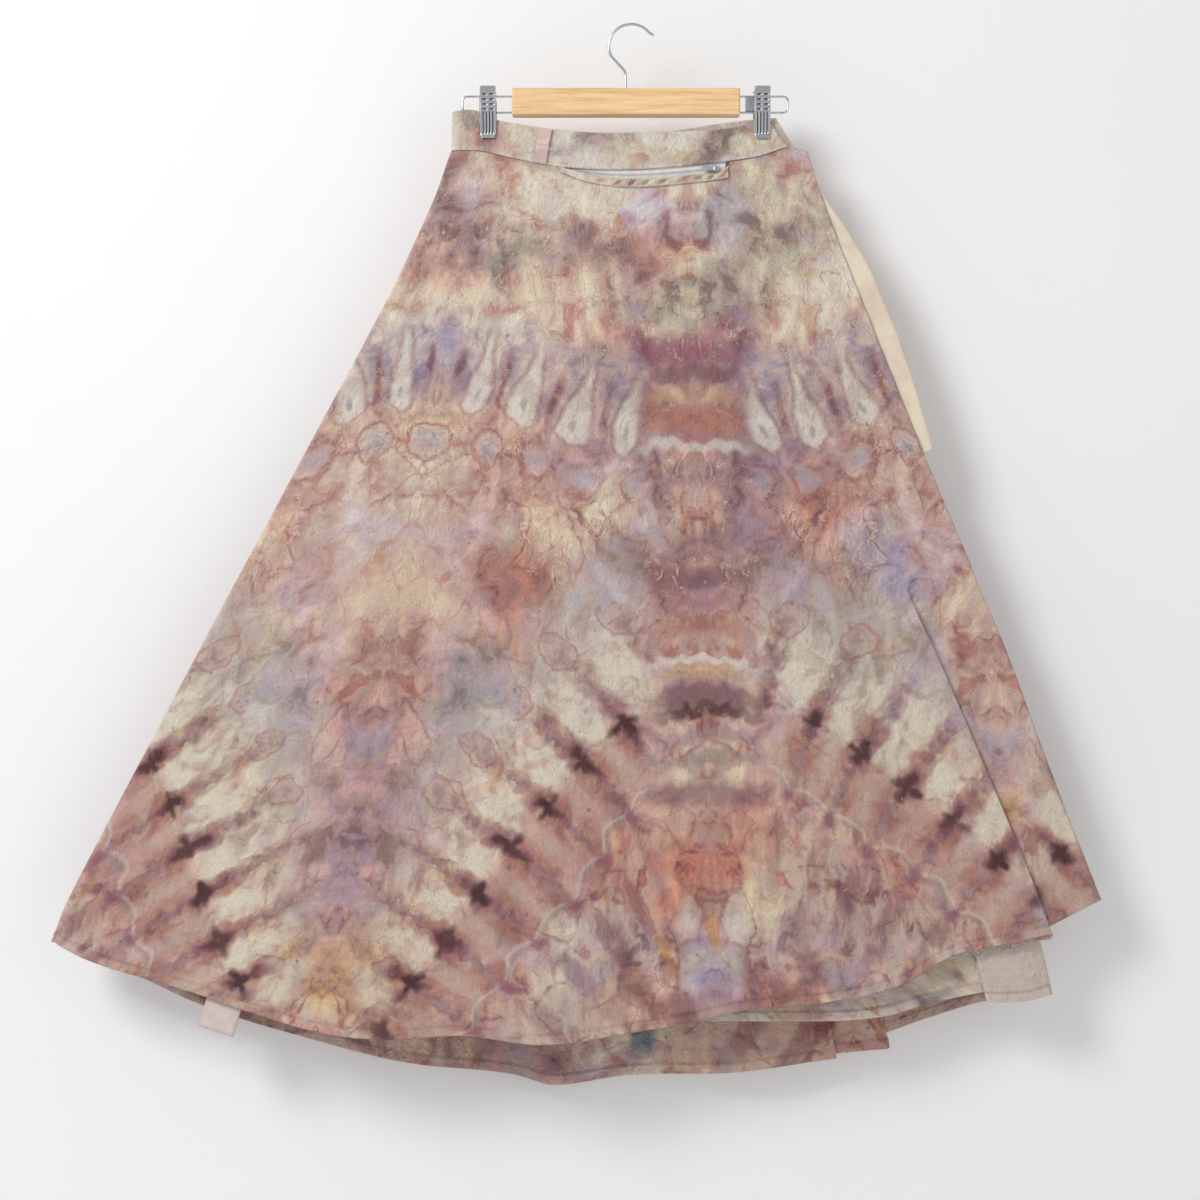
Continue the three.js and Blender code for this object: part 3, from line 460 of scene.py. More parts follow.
# Height, half height, colour and strength of the bars across the middle fold.
FOLD_BARS = [(-0.345, 0.012, MAGENTA, 0.6), (-0.372, 0.008, PLUM, 0.6), (-0.392, 0.007, OCHRE, 0.35),
             (-0.418, 0.016, RUST, 0.6), (-0.447, 0.006, IVORY, 0.6), (-0.480, 0.008, MAUVE, 0.4),
             (-0.588, 0.013, PLUM, 0.65), (-0.612, 0.009, MAGENTA, 0.4), (-0.640, 0.010, RUST, 0.5),
             (-0.676, 0.004, IVORY, 0.7), (-0.690, 0.009, OCHRE, 0.45), (-0.712, 0.012, PLUM, 0.8),
             (-0.727, 0.007, AUBERGINE, 0.85), (-0.752, 0.008, MAUVE, 0.5), (-0.775, 0.006, STONE, 0.5),
             (-0.812, 0.014, PLUM, 0.6)]


def dyed_cotton(name, shift=(0.0, 0.0), motifs=1.0):
    """Ice-dyed cotton over the poured fields. `shift` is where the piece lay on the bundle, and
    `motifs` how strongly the ties show."""
    graph, shader, material = new_material(name, Roughness=0.86, Sheen_Weight=0.12, Sheen_Roughness=0.5)
    cloth = graph.add("ShaderNodeAttribute", attribute_name="cloth").outputs["Vector"]
    # The dye attribute: the poured fields, with painted shade along the hems and in the lip's creases.
    ground = graph.add("ShaderNodeAttribute", attribute_name="dye").outputs
    colour = ground["Color"]
    x, _, z = graph.split(cloth)
    place = graph.vector(graph.plus(x, shift[0]), 0.0, graph.plus(z, shift[1]))
    bundle = use(graph, MIRROR, Cloth=place)
    u, v = bundle["U"], bundle["V"]
    folded = graph.vector(u, 0.35, v)
    broad = graph.noise(folded, 13.0, 4.0, 0.55, 0.4)
    cloud = graph.noise(folded, 34.0, 4.0, 0.6, 0.5)
    grain = graph.noise(folded, 85.0, 4.0, 0.6, 0.4)
    rough = graph.times(graph.less(graph.noise(folded, 62.0, 2.0, 0.45), 0.5), 1.5)
    streak = graph.noise(graph.vector(u, 0.6, graph.times(v, 0.16)), 90.0, 3.0)

    # The dyes parted as they ran: lighter and darker drifts, warm and cool, inside every field.
    drift = graph.ramp(broad, COOL_TO_WARM)
    colour = graph.mix(0.80, colour, drift, "OVERLAY")
    drift = graph.ramp(cloud, DARK_TO_PALE)
    colour = graph.mix(0.85, colour, drift, "OVERLAY")
    fibre = graph.ramp(streak, FIBRES)
    colour = graph.mix(graph.times(graph.fade(broad, 0.36, 0.6), 0.55), colour, fibre, "OVERLAY")

    # Lobes that spread from drop to drop, each with a lighter heart and a rusty rim.
    warped = graph.vector(graph.scaled(cloud, 0.016, u), 0.0,
                          graph.times(graph.scaled(grain, 0.012, v), 0.72))
    rim = graph.add("ShaderNodeTexVoronoi", {"Vector": warped, "Scale": 27.0, "Randomness": 0.85},
                    feature="DISTANCE_TO_EDGE").outputs["Distance"]
    lobe = graph.add("ShaderNodeTexVoronoi", {"Vector": warped, "Scale": 27.0, "Randomness": 0.85})
    hue = graph.split(lobe.outputs["Color"])
    inside = graph.ramp(hue[0],
                        [(0.1, ROSE), (0.28, CREAM), (0.42, LAVENDER), (0.56, RUST), (0.7, SAGE),
                         (0.8, MAUVE), (0.92, IVORY)])
    lively = graph.fade(hue[1], 0.25, 0.75)
    colour = graph.lay(colour, inside, lively, graph.fade(rim, 0.0, 0.34), 0.44)
    heart = graph.below(lobe.outputs["Distance"], 0.05, 0.42)
    colour = graph.lay(colour, graph.either(hue[2], 0.4, 0.6, LAVENDER, IVORY), heart, lively, 0.38)
    rim_dye = graph.ramp(grain, [(0.40, PLUM), (0.48, MAGENTA), (0.54, RUST), (0.64, OCHRE)])
    thin = graph.below(graph.scaled(cloud, 0.1, rim), 0.055, 0.125)
    colour = graph.lay(colour, rim_dye, thin, graph.fade(hue[2], 0.25, 0.7),
                       graph.fade(broad, 0.38, 0.52), graph.below(v, -0.47, -0.41), 0.62 * motifs)

    # A chain of keyhole petals across the hips, plum knots between their feet.
    foot = graph.scaled(graph.fade(u, 0.09, 0.25), 0.045, -0.437)
    up = graph.less(v, foot)
    spacing = 0.054
    leaning = graph.scaled(up, 0.3, u)
    cell = graph.math("FRACT", graph.plus(graph.over(leaning, spacing), 0.15))
    side = graph.times(graph.size(graph.less(cell, 0.5)), spacing)
    off = graph.less(spacing / 2, side)
    taper = graph.over(graph.math("MAXIMUM", up, 0.0), 0.04)
    width = graph.scaled(graph.math("POWER", 2.718, graph.times(taper, taper, -1.0)), 0.012, 0.003)
    closed = graph.scaled(graph.below(up, -0.03, -0.01), -0.018, width)
    edge = graph.plus(graph.less(side, closed), graph.times(rough, 0.004))
    tall = graph.times(graph.below(up, 0.06, 0.085), graph.fade(up, -0.035, -0.015))
    chain = graph.times(graph.fade(u, 0.045, 0.07), motifs)
    veil = graph.times(graph.fade(up, -0.03, 0.02), graph.below(up, 0.07, 0.11), chain, 0.42)
    colour = graph.lay(colour, graph.either(cloud, 0.42, 0.58, LAVENDER, SHELL), veil)
    between_them = graph.times(graph.fade(side, 0.01, 0.024), graph.fade(up, -0.012, 0.01),
                               graph.below(up, 0.035, 0.06))
    colour = graph.lay(colour, graph.either(cloud, 0.4, 0.6, MAUVE, ROSE), between_them, chain, 0.45)
    outline = graph.times(graph.below(graph.size(edge), 0.0, 0.006), tall, chain)
    colour = graph.lay(colour, graph.either(grain, 0.42, 0.58, PLUM, RUST), outline, 0.62)
    petal = graph.times(graph.below(edge, -0.006, 0.004), tall, chain)
    colour = graph.lay(colour, graph.either(cloud, 0.42, 0.56, CREAM, IVORY), petal, 0.74)
    heart = graph.below(within(graph, side, 0.0035, up, 0.009, rough), 0.6, 1.3)
    colour = graph.lay(colour, STONE, heart, chain, 0.55)
    knot = graph.below(within(graph, off, 0.012, graph.plus(up, 0.022), 0.018, rough), 0.3, 1.4)
    stem = graph.times(graph.below(off, 0.001, 0.007), graph.below(up, 0.03, 0.07),
                       graph.fade(up, -0.03, -0.01))
    colour = graph.lay(colour, graph.either(grain, 0.44, 0.6, PLUM, RUST),
                       graph.math("MAXIMUM", knot, stem), graph.fade(hue[1], -0.2, 0.5), chain, 0.85)
    bead = within(graph, off, 0.017, graph.plus(up, 0.054), 0.021, graph.times(rough, 0.8))
    colour = graph.lay(colour, graph.mix(graph.below(bead, 0.2, 0.8), BLUSH, LAVENDER),
                       graph.below(bead, 0.5, 1.0), chain, 0.52)
    bead_rim = graph.below(graph.size(graph.less(bead, 1.0)), 0.03, 0.24)
    colour = graph.lay(colour, graph.either(grain, 0.42, 0.56, MAGENTA, RUST), bead_rim, chain,
                       graph.fade(broad, 0.36, 0.54), 0.75)

    # The big arch: cream petals outside it, rose inside, a plum spot on each cell's line.
    ring = use(graph, RING, U=u, V=v, Right=bundle["Right"])
    across_it, beyond = ring["Across"], ring["Beyond"]
    arch = graph.times(graph.below(bundle["Near"], 0.8, 0.97), graph.fade(u, 0.045, 0.075), motifs)
    haze = graph.times(graph.fade(beyond, 0.055, 0.095), graph.below(beyond, 0.12, 0.17))
    colour = graph.lay(colour, graph.either(cloud, 0.4, 0.6, SAGE, LAVENDER), haze, arch, 0.4)
    ragged = graph.scaled(rough, 0.01, across_it)
    reach = graph.scaled(graph.less(broad, 0.5), 0.26, graph.scaled(rough, 0.03, beyond))
    petal = graph.times(graph.fade(ragged, 0.004, 0.018), graph.fade(beyond, -0.006, 0.016),
                        graph.below(reach, 0.04, 0.115))
    worn = graph.scaled(graph.fade(cloud, 0.38, 0.54), 0.36, 0.5)
    colour = graph.lay(colour, graph.either(cloud, 0.38, 0.56, CREAM, paint(230, 219, 197)), petal, arch,
                       worn)
    drop = within(graph, across_it, 0.014, graph.less(beyond, 0.096), 0.018, graph.times(rough, 0.5))
    shown = graph.times(graph.fade(hue[0], 0.2, 0.5), arch)
    colour = graph.lay(colour, graph.either(grain, 0.42, 0.58, ROSE, BLUSH), graph.below(drop, 0.7, 1.05),
                       shown, 0.62)
    rim_of_drop = graph.below(graph.size(graph.less(drop, 1.0)), 0.02, 0.18)
    colour = graph.lay(colour, RUST, rim_of_drop, shown, 0.55)
    fringe = graph.times(graph.below(graph.size(graph.less(ragged, 0.009)), 0.0, 0.004),
                         graph.fade(beyond, 0.0, 0.01), graph.below(beyond, 0.06, 0.09))
    colour = graph.lay(colour, graph.either(grain, 0.45, 0.6, STONE, OCHRE), fringe, arch, 0.45)
    rose = graph.times(graph.fade(beyond, -0.075, -0.06), graph.below(beyond, -0.012, 0.004))
    rose_dye = graph.either(across_it, 0.012, 0.026, RUST, BLUSH)
    colour = graph.lay(colour, graph.either(cloud, 0.45, 0.62, rose_dye, ROSE), rose, arch,
                       graph.scaled(graph.fade(broad, 0.4, 0.6), 0.4, 0.3))
    beads = graph.math("SINE", graph.times(beyond, 430.0))
    line_width = graph.scaled(beads, 0.0014, 0.0056)
    vein = graph.times(graph.below(graph.over(ragged, line_width), 0.5, 1.6),
                       graph.fade(beyond, -0.09, -0.05),
                       graph.below(graph.scaled(cloud, 0.08, beyond), 0.1, 0.145))
    colour = graph.lay(colour, graph.either(grain, 0.4, 0.6, PLUM, MAUVE), vein, arch, 0.6)
    halo = graph.below(within(graph, across_it, 0.019, graph.less(beyond, 0.004), 0.034, rough), 0.45,
                       1.15)
    colour = graph.lay(colour, graph.either(grain, 0.42, 0.58, MAGENTA, RUST), halo, arch, 0.62)
    spot = graph.below(within(graph, across_it, 0.01, beyond, 0.022, rough), 0.3, 1.1)
    star = graph.below(within(graph, across_it, 0.021, beyond, 0.006, rough), 0.3, 1.15)
    spot = graph.times(graph.math("MAXIMUM", spot, star), graph.scaled(hue[1], 0.3, 0.8))
    colour = graph.lay(colour, AUBERGINE, spot, arch)

    # The inner arch: a scalloped grey-green line with a pale shore, and small plum crossings.
    scallop = graph.times(graph.math("SINE", graph.times(across_it, math.pi / 0.0585)), 0.012)
    inner = graph.plus(graph.plus(beyond, 0.082), graph.less(graph.times(rough, 0.004), scallop))
    shore = graph.below(graph.size(graph.less(inner, 0.005)), 0.0, 0.004)
    colour = graph.lay(colour, IVORY, shore, arch, 0.32)
    colour = graph.lay(colour, STONE, graph.below(graph.size(inner), 0.0, 0.006), arch, 0.4)
    knot = graph.below(within(graph, across_it, 0.01, graph.plus(beyond, 0.082), 0.014, rough), 0.2, 1.25)
    colour = graph.lay(colour, MAGENTA, knot, arch, 0.82)
    rays = graph.times(graph.below(beyond, -0.11, -0.09), graph.fade(beyond, -0.24, -0.16), arch)
    ray_dye = graph.either(across_it, 0.006, 0.018, PLUM, graph.either(cloud, 0.4, 0.6, CREAM, BLUSH))
    colour = graph.lay(colour, ray_dye, rays, graph.fade(streak, 0.36, 0.56),
                       graph.fade(cloud, 0.36, 0.52), 0.58)

    # Bars across the middle fold, scalloped by its pleats.
    middle = graph.times(graph.below(graph.scaled(rough, 0.02, u), 0.03, 0.075), motifs)
    scallop = graph.times(graph.size(graph.math("SINE", graph.times(u, 150.0))), 0.005)
    bowed = graph.scaled(graph.times(u, u), 2.2, v)
    level = graph.plus(graph.plus(bowed, scallop), graph.times(rough, 0.008))
    for at, half_high, dye, strength in FOLD_BARS:
        bar = graph.below(graph.size(graph.less(level, at)), half_high * 0.35, half_high * 1.5)
        colour = graph.lay(colour, dye, bar, middle, strength)

    # Fine frilled lines where the wet edge stopped, and scattered grains of other dyes.
    frill = graph.noise(graph.vector(graph.times(u, 1.35), 0.9, v), 26.0, 4.0, 0.52, 1.1)
    high_up = graph.fade(v, -0.66, -0.58)
    shore = graph.times(graph.below(graph.size(graph.less(frill, 0.5)), 0.003, 0.014),
                        graph.fade(broad, 0.42, 0.54), high_up, 0.5)
    colour = graph.lay(colour, IVORY, shore)
    shade = graph.times(graph.below(graph.size(graph.less(frill, 0.482)), 0.002, 0.016),
                        graph.fade(broad, 0.42, 0.54), high_up, 0.45)
    colour = graph.lay(colour, RUST, shade)
    grains = graph.noise(place, 95.0, 1.0)
    colour = graph.lay(colour, TEAL, graph.fade(grains, 0.735, 0.775), 0.6)
    colour = graph.lay(colour, OCHRE, graph.below(grains, 0.235, 0.285), 0.6)

    colour = graph.mix(ground["Alpha"], ground["Color"], colour)
    weave = use(graph, WEAVE, Cloth=cloth, Thread=0.0009, Crinkle=1.0)
    tone = graph.scaled(weave["Tone"], 0.36, 0.88)
    colour = graph.mix(1.0, colour, graph.vector(tone, tone, tone), "MULTIPLY")
    faded = graph.add("ShaderNodeHueSaturation", {"Saturation": 0.90, "Value": 0.99, "Color": colour})
    graph.feed(shader.inputs["Base Color"], faded.outputs[0])
    graph.feed(shader.inputs["Roughness"], graph.scaled(grain, 0.16, 0.78))
    raise_relief(graph, shader, weave["Height"], 1.0, 0.0036)
    return material


def grid_of(*sides):
    """Points from their x, y and z, or x and z, each a number, a row, a column or a grid."""
    return np.stack(np.broadcast_arrays(*sides), -1)


def surface(rows, thickness, side):
    """The points of one face of a cloth, in millimetres: side 1 is its right side, -1 its wrong."""
    middle = np.array(rows, float)
    out = np.cross(np.gradient(middle, axis=0), np.gradient(middle, axis=1))
    out /= np.linalg.norm(out, axis=2, keepdims=True) + 1e-12
    half = np.broadcast_to(np.asarray(thickness, float), middle.shape[:2])[..., None] / 2
    return middle + side * out * half


def cloth_wall(name, rows, flat, thickness, material, dye=None):
    """A thin closed shell of cloth on a grid of points in millimetres. `flat` is each point's place
    on the cut cloth, which the weave follows, and `dye` its poured colour with any painted shade."""
    high, wide = np.shape(rows)[:2]
    points = np.concatenate([surface(rows, thickness, side).reshape(-1, 3) for side in (1, -1)]) / 1000.0
    count = high * wide
    index = np.arange(count).reshape(high, wide)
    front = np.stack([index[:-1, :-1], index[1:, :-1], index[1:, 1:], index[:-1, 1:]], -1).reshape(-1, 4)
    faces = [front, front[:, ::-1] + count]
    border = np.concatenate([index[0, :-1], index[:-1, -1], index[-1, :0:-1], index[:0:-1, 0]])
    after = np.roll(border, -1)
    faces.append(np.stack([border, after, after + count, border + count], -1))
    mesh = bpy.data.meshes.new(name)
    mesh.from_pydata(points.tolist(), [], np.concatenate(faces).tolist())
    places = np.zeros((2 * count, 3))
    places[:, [0, 2]] = np.tile(np.asarray(flat, float).reshape(-1, 2) / 1000.0, (2, 1))
    mesh.attributes.new("cloth", "FLOAT_VECTOR", "POINT").data.foreach_set("vector", places.ravel())
    if dye is not None:
        shown = np.tile(dye.reshape(-1, 4), (2, 1)).ravel()
        mesh.attributes.new("dye", "FLOAT_COLOR", "POINT").data.foreach_set("color", shown)
    mesh.polygons.foreach_set("use_smooth", np.ones(len(mesh.polygons), bool))
    mesh.materials.append(material)
    mesh.update()
    piece = bpy.data.objects.new(name, mesh)
    scene.collection.objects.link(piece)
    return piece


def creases(x, z, lines):
    """Soft troughs and ridges: each from one point to another, with its width and its height."""
    total = np.zeros_like(x)
    for x0, z0, x1, z1, width, height in lines:
        length2 = (x1 - x0) ** 2 + (z1 - z0) ** 2
        f = np.clip(((x - x0) * (x1 - x0) + (z - z0) * (z1 - z0)) / length2, 0, 1)
        off = np.hypot(x - lerp(x0, x1, f), z - lerp(z0, z1, f))
        taper = np.sin(np.pi * np.clip(0.12 + 0.76 * f, 0, 1))
        total += height * taper * np.exp(-((off / width) ** 2))
    return total


# A panel's rows run from its top, 0, to its hem, 1, and lie closer where the hem is turned.
PANEL_DROP, HEM_TURN = 873.0, 9.0
HEM_ROWS = np.array([10.5, HEM_TURN, 7.7, 6.3, 4.5, 2.7, 1.1, 0])
STITCHED_ROW = 93
PANEL_T = np.concatenate([np.linspace(0, 1 - 12 / PANEL_DROP, 92), 1 - HEM_ROWS / PANEL_DROP])
FLUTE_RADIUS = 1.6
CLOTH, THREAD_STAND = 0.9, 0.1


def seam_row(t, z_top, z_hem, side, first, second, reach_top, reach_hem):
    z = lerp(z_top, z_hem, t)
    x = float(side(z))
    return x, z, float(first(x, z) + second(x, z)) / 2, lerp(reach_top, reach_hem, t)


def left_seam(t):
    return seam_row(t, -136.5, -977, left_side, front_depth, back_depth, 3, 9)


def right_seam(t):
    return seam_row(t, -138.5, -1035, right_side, under_depth, back_depth, 2, 8)


def side_turn(seam, toward, away, depth, steps=7):
    """The quarter turn of cloth from a side seam into its layer."""
    x0, z, seam_y, reach = seam
    reach = toward * reach
    inner = float(depth(x0 + reach, z))
    start = seam_y + away * 0.15
    turn = np.linspace(0, math.pi / 2, steps, endpoint=False)
    x = np.concatenate([[x0], x0 + reach * (1 - np.cos(turn))])
    y = np.concatenate([[start], lerp(start, inner, 0.3 + 0.7 * np.sin(turn))])
    return x, y, np.full(steps + 1, z)


def flute(opened, lap, heading, bend_steps=9, lap_steps=5):
    """The section of a flattened flute as offsets in x and y: two turns and the lap between."""
    bend = math.pi * opened
    stride = math.pi * FLUTE_RADIUS / bend_steps
    rising = (np.arange(bend_steps) + 0.5) * bend / bend_steps
    angle = np.concatenate([rising, np.full(lap_steps, bend), rising[::-1]])
    length = np.concatenate([np.full(bend_steps, stride), np.full(lap_steps, lap / lap_steps),
                             np.full(bend_steps, stride)])
    return heading * np.cumsum(length * np.cos(angle)), np.cumsum(length * np.sin(angle)), np.cumsum(length)


def flute_at(z, apex, hem_z, lap, heading):
    opened = float(ease((apex - z) / 90))
    grown = lerp(2.5, lap, float(np.clip((apex - z) / (apex - hem_z), 0, 1)) ** 1.5)
    return flute(opened, grown, heading)


class Panel:
    """Collects a panel's rows: each stretch adds points across, with their place on the cut."""

    def __init__(self):
        self.rows, self.flat, self.layer = [], [], []

    def begin(self):
        self.row, self.cut = [], []

    def add(self, x, y, z, cut_x):
        self.row.append(grid_of(x, y, z))
        self.cut.append(grid_of(cut_x, z))

    def end(self):
        self.rows.append(np.concatenate(self.row))
        self.flat.append(np.concatenate(self.cut))

    def grids(self):
        return np.array(self.rows), np.array(self.flat)


def hem_relief(t, x):
    """The turned hem: twice as thick, and drawn into small slanting puckers by its stitching."""
    above = (1 - t) * PANEL_DROP
    turned = ease((HEM_TURN + 1.2 - above) / 1.5)
    return turned * (1.2 + 0.6 * np.sin(x / 2.6 + above / 2.4) + 0.3 * np.sin(x / 7.3))


def hem_shade(dye):
    """The poured colours, darker along the line of stitches where the hem's edge dips in."""
    above = PANEL_DROP * (1 - PANEL_T[:, None, None])
    dye[..., :3] *= 1 - 0.34 * np.exp(-(((above - 9.6) / 1.2) ** 2))
    return dye


# ---- Back panel: the flared back of the skirt ----
# One piece of dyed cotton, cut on a flare and sewn to both wraps at the sides. Two flutes lie
# flattened on its right, and its hem is turned and stitched. It hangs lower than the front.
back_hem = through((-618, -980), (-561, -1006), (-459, -1052), (-346, -1092), (-245, -1115),
                   (-130, -1129), (-85, -1141), (-11, -1132), (109, -1125), (221, -1112))
back_hem_middle = through((196, -1110), (221, -1108), (278, -1101))
back_hem_right = through((205, -1092), (269, -1087), (316, -1069), (380, -1048), (450, -1036))
BACK_FLUTES = [(221, 60, -800, 25), (278, 92, -760, 73)]
BACK_CREASES = [(-60, -240, -150, -620, 16, 2.6), (70, -300, 150, -760, 20, -3.0),
                (-180, -420, -330, -860, 22, 3.2), (20, -520, 40, -1010, 18, 3.4),
                (-300, -700, -380, -1040, 15, -2.6), (-90, -800, -120, -1090, 13, 3.0)]


BACK_POURS = [(-400, -700, 120, 120, ROSE, 0.6), (-200, -350, 90, 90, SHELL, 0.7),
              (0, -250, 90, 60, MAUVE, 0.5), (110, -420, 80, 90, RUST, 0.5),
              (230, -560, 80, 80, SAGE, 0.6), (-80, -560, 90, 80, PEACH, 0.7),
              (-300, -520, 70, 60, LAVENDER, 0.5), (60, -700, 90, 80, ROSE, 0.6),
              (-150, -820, 110, 80, CREAM, 0.6), (250, -820, 90, 90, MAUVE, 0.5),
              (-480, -930, 90, 60, SAGE, 0.5), (-300, -1010, 110, 60, ROSE, 0.7),
              (-120, -1090, 60, 50, PLUM, 0.45), (-20, -1100, 50, 40, SHELL, 0.7),
              (60, -1080, 60, 50, BLUSH, 0.6), (150, -1080, 60, 40, ROSE, 0.6),
              (26, -1096, 11, 11, TEAL, 0.95), (8, -1100, 7, 10, TEAL, 0.9),
              (-70, -1105, 16, 20, PLUM, 0.6), (240, -1080, 40, 30, RUST, 0.8),
              (330, -1050, 70, 40, RUST, 0.55), (420, -950, 60, 80, BLUSH, 0.6)]


def back_panel():
    panel = Panel()
    top = lambda x: inner_band_bottom(x) - 0.5
    hems, starts, ends = (back_hem, back_hem_middle, back_hem_right), (-609, 196, 205), (221, 278, 450)
    counts = (160, 14, 50)
    for t in PANEL_T:
        panel.begin()
        left, right = left_seam(t), right_seam(t)
        x, y, z = side_turn(left, 1, 1, back_depth)
        panel.add(x, y, z, x)
        start, top_start, behind, cut = left[0] + left[3], -189, 0.0, 0.0
        for n in range(3):
            last = n == 2
            top_end = 176 if last else BACK_FLUTES[n][1]
            end_z = lerp(float(top(top_end)), float(hems[n](ends[n])), t)
            end = right[0] - right[3] if last else lerp(BACK_FLUTES[n][1], BACK_FLUTES[n][0], t)
            f = np.linspace(0, 1, counts[n] + 1)[0 if n == 0 else 1:]
            z = lerp(top(lerp(top_start, top_end, f)), hems[n](lerp(starts[n], ends[n], f)), t)
            x = lerp(start, end, f)
            y = back_depth(x, z) + behind * ((1 - ease(f)) if last else 1.0)
            y = y + creases(x, z, BACK_CREASES)
            panel.add(x, y, z, x + cut)
            if last:
                break
            step_x, step_y, run = flute_at(end_z, BACK_FLUTES[n][2], float(hems[n](ends[n])),
                                           BACK_FLUTES[n][3], 1)
            next_z = lerp(float(top(top_end + 14)), float(hems[n + 1](starts[n + 1])), t)
            z = lerp(end_z, next_z, np.arange(1, len(run) + 1) / len(run))
            x = end + step_x
            panel.add(x, back_depth(x, z) + behind + step_y, z, end + cut + run)
            start, top_start = end + step_x[-1], BACK_FLUTES[n][1] + 14
            behind += step_y[-1]
            cut += run[-1] - step_x[-1]
        x, y, z = side_turn(right, -1, 1, back_depth)
        panel.add(x[::-1], y[::-1], z, x[::-1] + cut)
        panel.end()
    rows, flat = panel.grids()
    relief = hem_relief(PANEL_T[:, None], flat[..., 0])
    dye = hem_shade(poured(flat[..., 0], flat[..., 1], BLUSH, BACK_POURS))
    back = cloth_wall("back_cloth", rows, flat, CLOTH + relief,
                      dyed_cotton("dyed_cotton_back", shift=(0.21, 0.03)), dye)
    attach(back, "skirt")
    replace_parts(back, "back_panel")
    return rows


back_rows = back_panel()


# ---- Under wrap: the inner front, from the right side fold to its own free edge on the left ----
# The same cotton, sewn to the back on the right. Its right corner is folded over, so that the
# plain wrong side shows there below the front's hem.
under_hem = through((-130, -1052), (54, -1058), (194, -1060), (269, -1057), (325, -1044), (416, -1024))
under_corner_hem = through((380, -1042), (416, -1041), (450, -1034))
UNDER_FLUTE = (380, 150, -830, 36)
UNDER_CREASES = [(60, -400, 120, -1000, 16, 2.0), (-80, -500, -110, -1020, 18, -2.2),
                 (412, -960, 428, -1040, 6, -1.6), (200, -700, 250, -1040, 14, 2.0)]


UNDER_POURS = [
    (-60, -500, 90, 160, BLUSH, 0.6), (80, -700, 90, 120, ROSE, 0.5), (200, -500, 90, 120, SHELL, 0.5),
    (200, -900, 80, 60, MAUVE, 0.4), (120, -1020, 60, 40, ROSE, 0.5), (230, -1030, 40, 30, CREAM, 0.8),
    (238, -1034, 8, 13, TEAL, 1.0), (256, -1027, 6, 10, TEAL, 1.0), (340, -1010, 40, 30, IVORY, 0.7),
    (440, -980, 70, 110, BARE, 1.0), (400, -1015, 60, 70, BARE, 1.0), (150, -250, 60, 60, CREAM, 0.6)]


def under_panel():
    panel = Panel()
    top = lambda x: inner_band_bottom(x) - 0.5
    edge_hem, edge_top, apex, lap = UNDER_FLUTE
    for t in PANEL_T:
        panel.begin()
        seam = right_seam(t)
        x, y, z = side_turn(seam, -1, -1, under_depth)
        panel.add(x, y, z, x)
        edge_z = lerp(float(top(edge_top)), float(under_corner_hem(edge_hem)), t)
        edge = lerp(edge_top, edge_hem, t)
        f = np.linspace(0, 1, 15)
        z = lerp(top(lerp(176, edge_top, f)), under_corner_hem(lerp(441, edge_hem, f)), t)
        x = lerp(seam[0] - seam[3], edge, f)
        panel.add(x, under_depth(x, z) + creases(x, z, UNDER_CREASES), z, x)
        step_x, step_y, run = flute_at(edge_z, apex, -1045, lap, -1)
        next_z = lerp(float(top(edge_top - 14)), float(under_hem(416)), t)
        z = lerp(edge_z, next_z, np.arange(1, len(run) + 1) / len(run))
        panel.add(edge + step_x, under_depth(edge + step_x, z) + step_y, z, edge - run)
        start = edge + step_x[-1]
        f = np.linspace(0, 1, 110)[1:]
        z = lerp(top(lerp(edge_top - 14, -166, f)), under_hem(lerp(416, -130, f)), t)
        x = lerp(start, lerp(-166, -130, t), f)
        panel.add(x, under_depth(x, z) + step_y[-1] + creases(x, z, UNDER_CREASES), z,
                  x - start + edge - run[-1])
        panel.end()
    rows, flat = panel.grids()
    relief = hem_relief(PANEL_T[:, None], flat[..., 0])
    dye = hem_shade(poured(flat[..., 0], flat[..., 1], IVORY, UNDER_POURS))
    cotton = dyed_cotton("dyed_cotton_under", shift=(0.30, 0.10), motifs=0.35)
    under = cloth_wall("under_wrap_cloth", rows, flat, CLOTH + relief, cotton, dye)
    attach(under, "skirt")
    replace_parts(under, "under_wrap_panel")
    return rows


under_rows = under_panel()


# ---- Front wrap: the outer panel, from the left side seam over everything to its free edge ----
# The widest piece of dyed cotton. One deep flute lies flattened low on its right, its free edge
# and its hem are turned and stitched, and soft troughs run down from the band.
front_hem = through((-618, -975), (-563, -1001), (-457, -1031), (-333, -1066), (-256, -1074),
                    (-176, -1071), (-92, -1077), (28, -1063), (120, -1044), (207, -1036),
                    (284, -1021), (345, -990), (404, -977), (446, -968))
front_hem_past = through((404, -984), (446, -961), (501, -934))
flute_edge = through((-135, 118), (-584, 282), (-681, 327), (-792, 374), (-914, 424), (-975, 446))
zip_lower_edge = through((-78, -153), (-43, -162), (-16, -166), (25, -165.5), (73, -161),
                         (95, -158.5), (104, -150))
ZIP_LEFT, ZIP_RIGHT = -72.0, 101.0
